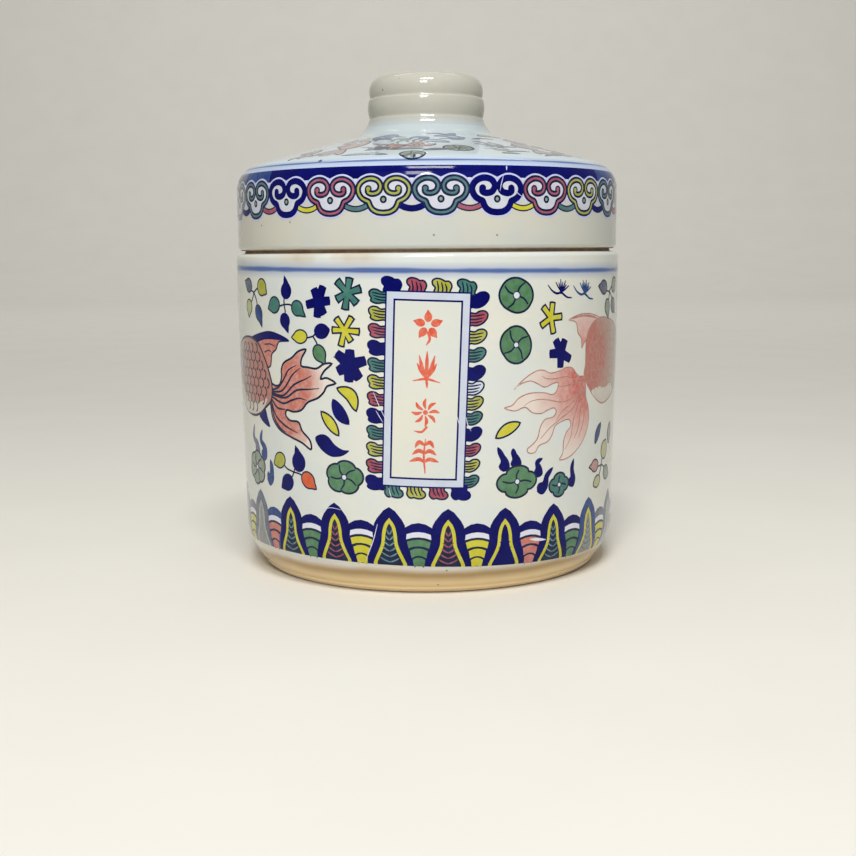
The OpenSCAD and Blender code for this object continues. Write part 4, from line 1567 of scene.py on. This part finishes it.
RUYI_HEADS = 24
RUYI_WIDE_HEADS = 15
RUYI_PITCH = 14.93
RUYI_PHASE = 3.6
RUYI_COLOURS = ["cobalt", "lid_rose", "lid_olive", "lid_teal"]
RUYI_LINKS = ["yellow", "lid_teal", "cobalt", "lid_rose"]
RUYI_INK = 1.7
RUYI_COLOUR_W = 0.55
# The band's colour where the print is drawn paler at the two sides, a painted reflection of bright
# surroundings in the glaze, by the head's number
PAINTED_SHEEN_BAND = {
    0: "blue", 1: "rubbed", 2: "rubbed", 3: "blue",
    11: "blue", 12: "rubbed", 13: "rubbed", 14: "blue",
}
BAND_TOP = SKIRT_TOP + 4.3

# The right half of a cloud head's line, from its curl over the lobe and down to the chin
RUYI_CURL = [(4, 107), (4.1, 106.3), (3.5, 105.85), (2.4, 105.8), (1.3, 106.25), (0.75, 107.2), (0.8, 108.2)]
RUYI_LOBE = [
    (1.6, 109.15), (2.9, 109.6), (4.4, 109.5), (5.9, 108.7), (6.75, 107.4), (6.65, 106), (5.9, 104.8),
    (4.9, 104.15), (4, 103.75), (3.6, 102.8), (2.9, 101.8), (1.6, 101.1), (0, 100.9),
]


def ruyi_unit():
    """One cloud head of the lid's border, under its share of the cobalt band, with half a crescent
    on either side of it."""
    h = RUYI_PITCH / 2
    lobe = smooth(RUYI_LOBE, False, 3)
    whole = np.vstack([(0, 108.4), lobe, (lobe * (-1, 1))[::-1][1:]])
    half_line = smooth(RUYI_CURL + RUYI_LOBE, False, 3)
    scroll = np.vstack([half_line, (half_line * (-1, 1))[::-1][1:]])
    out = [("band", np.array([(-h, BAND_TOP), (-h, 109.7), (0, 109), (h, 109.7), (h, BAND_TOP)]))]
    out.append(("lilac", grow(whole, RUYI_INK / 2 + 0.45)))
    for side in (-1, 1):
        link = [(side * h + dx, 101.95 + 0.09 * dx * dx) for dx in (-3, -2, -1, 0, 1, 2, 3)]
        name = "link_right" if side > 0 else "link_left"
        out.append(("ink_" + name, stroke(link, 1.65)))
        out.append((name, stroke(link, 0.95)))
    out.append(("grey_slip", whole))
    out.append(("head_line", stroke(scroll, RUYI_INK)))
    for side in (-1, 1):
        out.append(("head_line", disc(side * 4, 107, 0.95)))
    out.append(("head", stroke(scroll, RUYI_COLOUR_W)))
    for side in (-1, 1):
        out.append(("head", disc(side * 4, 107, 0.55)))
    out.append(("ink", disc(0, 104.3, 0.95, 1.0)))
    out.append(("pip", disc(0, 104.3, 0.42, 0.46)))
    return out


def ruyi_border():
    """The heads round the lid: the wide ones in front, and the rest drawn narrower to close the ring."""
    rows = tuple(np.arange(SKIRT_TOP, BAND_TOP, 0.66))
    unit = cut(ruyi_unit(), 2.4, rows, (-RUYI_PITCH / 2, RUYI_PITCH / 2))
    wide = RUYI_WIDE_HEADS * RUYI_PITCH
    narrow_pitch = (TAU * JAR_R - wide) / (RUYI_HEADS - RUYI_WIDE_HEADS)
    sheets = []
    for k in range(RUYI_HEADS):
        head = RUYI_COLOURS[k % len(RUYI_COLOURS)]
        left = RUYI_LINKS[(k - 1) % len(RUYI_LINKS)]
        right = RUYI_LINKS[k % len(RUYI_LINKS)]
        band = PAINTED_SHEEN_BAND.get(k, "cobalt")
        line_colour = band if head == "cobalt" or band == "rubbed" else "ink"
        # At the two sides the band and its heads take greyed colours: painted reflection in the glaze as the
        # lid turns away
        if band == "rubbed":
            head = "rubbed_green"
        exchange = {
            "band": band, "pip": "rubbed_green", "head": head, "head_line": line_colour,
            "link_left": left, "ink_link_left": "cobalt" if left == "cobalt" else "ink",
            "link_right": right, "ink_link_right": "cobalt" if right == "cobalt" else "ink",
        }
        if k < RUYI_WIDE_HEADS:
            sheets.append(shifted(unit, RUYI_PHASE - wide / 2 + (k + 0.5) * RUYI_PITCH, exchange))
        else:
            at = RUYI_PHASE + wide / 2 + (k - RUYI_WIDE_HEADS + 0.5) * narrow_pitch
            sheets.append(shifted(unit, at, exchange, narrow_pitch / RUYI_PITCH))
    return sheets


# ---------------------------------------------------------------- the painting on the crown, in plan
def small_fish(colour, line_colour):
    """A goldfish as it is painted on the lid: seen from the side, head to the right."""
    tail = [
        (-1.4, 0.6), (-4.6, 3.6), (-7.6, 4.4), (-6.4, 2), (-8.4, 0.4), (-6.2, -1), (-7.4, -4), (-4, -2.8),
        (-1.6, -0.9),
    ]
    body = [(-1.8, 0), (0.4, 2.5), (3.6, 2.9), (6.4, 1.4), (7.2, -0.4), (5.6, -2), (2.4, -2.7), (-0.4, -1.9)]
    out = inked(colour, smooth(tail), 0.4)
    for y in (2.6, 0.3, -2.4):
        out.append((line_colour, line([(-1.6, 0), (-4, y * 0.7), (-6, y)], 0.35)))
    out += inked(colour, smooth(body), 0.45)
    out += inked(colour, smooth([(0.6, 2.4), (1.4, 4), (3.6, 4.2), (4, 2.7)]), 0.4)
    for x in (0.4, 1.9, 3.4):
        out.append((line_colour, line([(x, 1.7), (x + 0.7, 0), (x, -1.7)], 0.35)))
    out.append(("white", disc(5.4, 0.6, 0.9)))
    out.append(("ink", disc(5.5, 0.6, 0.5)))
    return out


def fronds(colour):
    """Three blades of weed from one root, which lie along y."""
    out = blade([(0, -4), (-0.8, -1), (0.4, 1.6), (-0.4, 4.6)], 2.2, colour)
    out += blade([(-0.4, -4), (-2.4, -1.6), (-2.2, 0.6), (-3.6, 2.6)], 1.9, colour)
    return out + blade([(0.4, -4), (2.2, -1.8), (2.2, 0.2), (3.6, 1.8)], 1.9, colour)


def at_crown(shapes, angle, r, turn=0.0, size=1.0, flip=False):
    """A motif set on the crown: the angle runs from the front to the right, and its y points in."""
    a = math.radians(angle)
    return place(shapes, r * math.sin(a), -r * math.cos(a), turn + angle, size, flip)


def crown_front():
    """The front of the crown, crowded: three goldfish between leaves, weeds and pads."""
    out = place(small_fish("haze_red", "haze_grey"), -21.4, -32.5, 52, 1.2)
    out += scattered(
        (small_fish("haze_grey", "haze_navy"), -31.6, -31, 70, 0.8),
        (fronds("haze_grey"), -19, -22.5, -55, 1.0),
        (fronds("haze_grey"), -26.8, -37.2, 30, 0.85),
        (fronds("haze_navy"), -10.8, -24.8, -160, 1.25),
        (fronds("haze_navy"), -12.4, -24, 70, 0.9),
        (fronds("haze_grey"), -12.2, -36.8, 20, 1.3),
        (petal(9, 3.4, 0.5, "haze_navy"), -11.6, -40.2, 4),
        (fronds("haze_green"), -7.2, -31.2, 170, 0.9),
        (small_fish("haze_red", "maroon"), -4.2, -37.8, 8, 0.92),
        (petal(8.4, 1.8, 0.4, "haze_green"), -5, -42.6, 0),
        (fronds("haze_navy"), -2.4, -29.6, 160, 0.95),
        (blossom(6, 3.4, 10, 0.2, 0.04, 1.0, "haze_green"), -3.6, -49.2),
        (petal(12.5, 2.2, 0.9, "haze_blue"), -16.2, -46.6, -20),
        (tuft(7, 3.2, 130, "haze_blue"), -15, -46.4, -18),
        (fronds("haze_navy"), 4.2, -21.6, 95, 1.0),
        (fronds("haze_navy"), 6.6, -26.4, 78, 1.0),
        (petal(8, 3.4, 0.8, "haze_blue"), 2.2, -33, -12),
        (blossom(7, 3.9, 40, 0.2, 0.04, 1.0, "haze_green"), 8.4, -41.2),
        (petal(7, 2.2, 0.6, "haze_navy"), 2.6, -44.2, 12),
        (petal(9.5, 3.2, 1.0, "haze_green"), 17.6, -15.6, 50),
        (fronds("haze_navy"), 16.6, -31.6, 64, 1.0),
        (fronds("haze_green"), 18.4, -37.4, 66, 0.9),
        (petal(5, 1.8, 0.5, "haze_green"), 22.2, -42.8, 24),
    )
    for x, y, turn in ((15.4, -24, 40), (21.6, -33.4, 46), (24.4, -38.2, 38), (33.4, -35.6, 60)):
        out += place(petal(7.4, 0.7, 0.5, "haze_red"), x, y, turn)
    out += place(small_fish("haze_grey", "haze_red"), 28.6, -28.2, 130, 1.0)
    out += place(fronds("haze_grey"), 26, -18.5, 100, 0.9)
    return out + place([("haze_navy", disc(0, 0, 0.55, n=9))], -27.8, -44.6)


CROWN_GROUPS = 5


def crown_back():
    """The rest of the crown: a goldfish, two pads and weeds in each of its groups."""
    out = []
    for k in range(CROWN_GROUPS):
        a = 68 + 46.5 * k
        pair = ("coral", "maroon") if k % 2 else ("haze_red", "haze_grey")
        out += at_crown(small_fish(*pair), a, 37, 20 * (-1) ** k, 1.0, k % 2 == 1)
        out += at_crown(blossom(6, 3.4, 25 * k, 0.32, 0.12, 1.1, "haze_green"), a + 15, 45.8)
        out += at_crown(blossom(5, 2.9, 30 * k, 0.3, 0.12, 1.0, "haze_green"), a - 13, 45.2)
        out += at_crown(fronds("haze_navy"), a + 20, 34, 70, 1.1)
        out += at_crown(fronds("haze_grey"), a + 2, 27.6, 95, 0.9)
        out += at_crown(tuft(7, 3.2, 120, "haze_blue"), a + 1, 45.6)
        out += at_crown(petal(7, 2.4, 0.6, "haze_navy"), a + 21, 41.4, 30)
        out += at_crown(petal(6, 2, 0.6, "haze_green"), a - 14, 29, 60)
    return out


# ---------------------------------------------------------------- build everything
make_jar()
make_lid()
make_knob()

WALL = ("jar", "jar_glaze")
WALL_ROWS = np.linspace(TAPER_TOP - TAPER_BLEND, TAPER_TOP + TAPER_BLEND, 5)
enamel_piece("foot_lappets", *WALL, lappet_border(), on_foot)
enamel_piece("foot_border_rubs", *WALL, [cut(border_rubs())], on_wall, RUB_LIFT)
WALL_PIECES = {
    "panel_and_fringe": panel() + scratches(),
    "left_goldfish": left_fish(),
    "right_goldfish": right_fish(),
    "left_blossoms": left_field(),
    "left_lotus": left_lotus(),
    "right_blossoms": right_field(),
    "back_lotus_pool": back_field(),
    "left_side_blossoms": side_field(-112, True),
    "right_side_blossoms": side_field(110, False),
}
for piece_name, drawing in WALL_PIECES.items():
    enamel_piece(piece_name, *WALL, [cut(drawing, rows=WALL_ROWS)], on_wall)

LID = ("lid", "lid_glaze")
CROWN_ROWS = np.arange(-48, 50, 4)
enamel_piece("cloud_head_border", *LID, ruyi_border(), on_skirt)
enamel_piece("lid_print_chips", *LID, [cut(lid_chips())], on_skirt, RUB_LIFT)
enamel_piece("crown_front_goldfish", *LID, [cut(crown_front(), rows=CROWN_ROWS)], on_crown)
enamel_piece("crown_back_goldfish", *LID, [cut(crown_back(), rows=CROWN_ROWS)], on_crown)


# ---------------------------------------------------------------- floor, light and camera
CAMERA_AT = (-0.0002, -0.400, 0.0909)
CAMERA_PITCH = 7.49
CAMERA_ROLL = -0.45
FOCAL_LENGTH = 56.28


def stage_material(name, light, dark):
    """A dull, slightly cloudy surface for the floor and backdrop."""
    material, tree, shader = shader_tree(name)
    where = place_in_mm(tree)
    colour = blend_colour(tree, noise(tree, where, 60, 4.0), light, dark)
    tree.links.new(colour, shader.inputs["Base Color"])
    shader.inputs["Roughness"].default_value = 0.75
    shader.inputs["Specular IOR Level"].default_value = 0.25
    return material


def sweep():
    """A pale floor that curves up into the backdrop."""
    bpy.ops.mesh.primitive_plane_add(size=6, location=(0, 0, 0))
    floor = bpy.context.object
    floor.name = "studio_sweep"
    bpy.ops.object.mode_set(mode="EDIT")
    bpy.ops.mesh.select_all(action="DESELECT")
    edit = bmesh.from_edit_mesh(floor.data)
    for edge in edit.edges:
        edge.select_set(all(v.co.y > 2.9 for v in edge.verts))
    edit.select_flush_mode()
    bmesh.update_edit_mesh(floor.data)
    bpy.ops.mesh.extrude_region_move(TRANSFORM_OT_translate={"value": (0, 0, 3)})
    bpy.ops.object.mode_set(mode="OBJECT")
    bpy.ops.object.modifier_add(type="BEVEL")
    bevel = floor.modifiers[-1]
    bevel.width = 0.9
    bevel.segments = 24
    bevel.limit_method = "ANGLE"
    bpy.ops.object.modifier_apply(modifier=bevel.name)
    bpy.ops.object.shade_smooth()
    floor.data.materials.append(stage_material("pale_sweep", (0.80, 0.78, 0.72), (0.75, 0.73, 0.67)))
    floor.select_set(False)


def softbox(name, at, aim, size, power, tint=(1, 1, 1)):
    """A rectangular lamp that looks at a point; places and sizes are in metres."""
    light = bpy.data.lights.new(name, "AREA")
    light.shape = "RECTANGLE"
    light.size, light.size_y = size
    light.energy = power
    light.color = tint
    obj = bpy.data.objects.new(name, light)
    bpy.context.scene.collection.objects.link(obj)
    obj.location = at
    obj.rotation_euler = (Vector(aim) - Vector(at)).to_track_quat("-Z", "Y").to_euler()


sweep()
softbox("high_lamp", (0.026, -0.49, 0.865), (0, 0, 0.11), (0.32, 0.14), 4.6)
softbox("low_lamp", (-0.065, -0.743, 0.613), (0, 0, 0.11), (0.20, 0.19), 3.35, (1.0, 0.97, 0.92))
softbox("front_fill", (0.0, -1.9, 0.9), (0, 0, 0.07), (2.2, 1.6), 3.5)
softbox("top_fill", (0, -0.1, 1.7), (0, 0, 0.05), (1.8, 1.8), 1.0)
softbox("backdrop_wash", (0, 1.0, 2.2), (0, 3.0, 0.9), (2.4, 0.6), 30.0)
world = bpy.data.worlds.new("studio")
bpy.context.scene.world = world
world.use_nodes = True
world.node_tree.nodes["Background"].inputs["Color"].default_value = (0.86, 0.86, 0.84, 1)
world.node_tree.nodes["Background"].inputs["Strength"].default_value = 0.30

lens = bpy.data.cameras.new("view")
lens.lens = FOCAL_LENGTH
camera = bpy.data.objects.new("view", lens)
bpy.context.scene.collection.objects.link(camera)
camera.location = CAMERA_AT
level_view = Euler((math.radians(90 - CAMERA_PITCH), 0, 0)).to_matrix()
camera.rotation_euler = (level_view @ Matrix.Rotation(math.radians(CAMERA_ROLL), 3, "Z")).to_euler()
lens.clip_start = 0.01
bpy.context.scene.camera = camera
bpy.context.scene.view_settings.view_transform = "Standard"
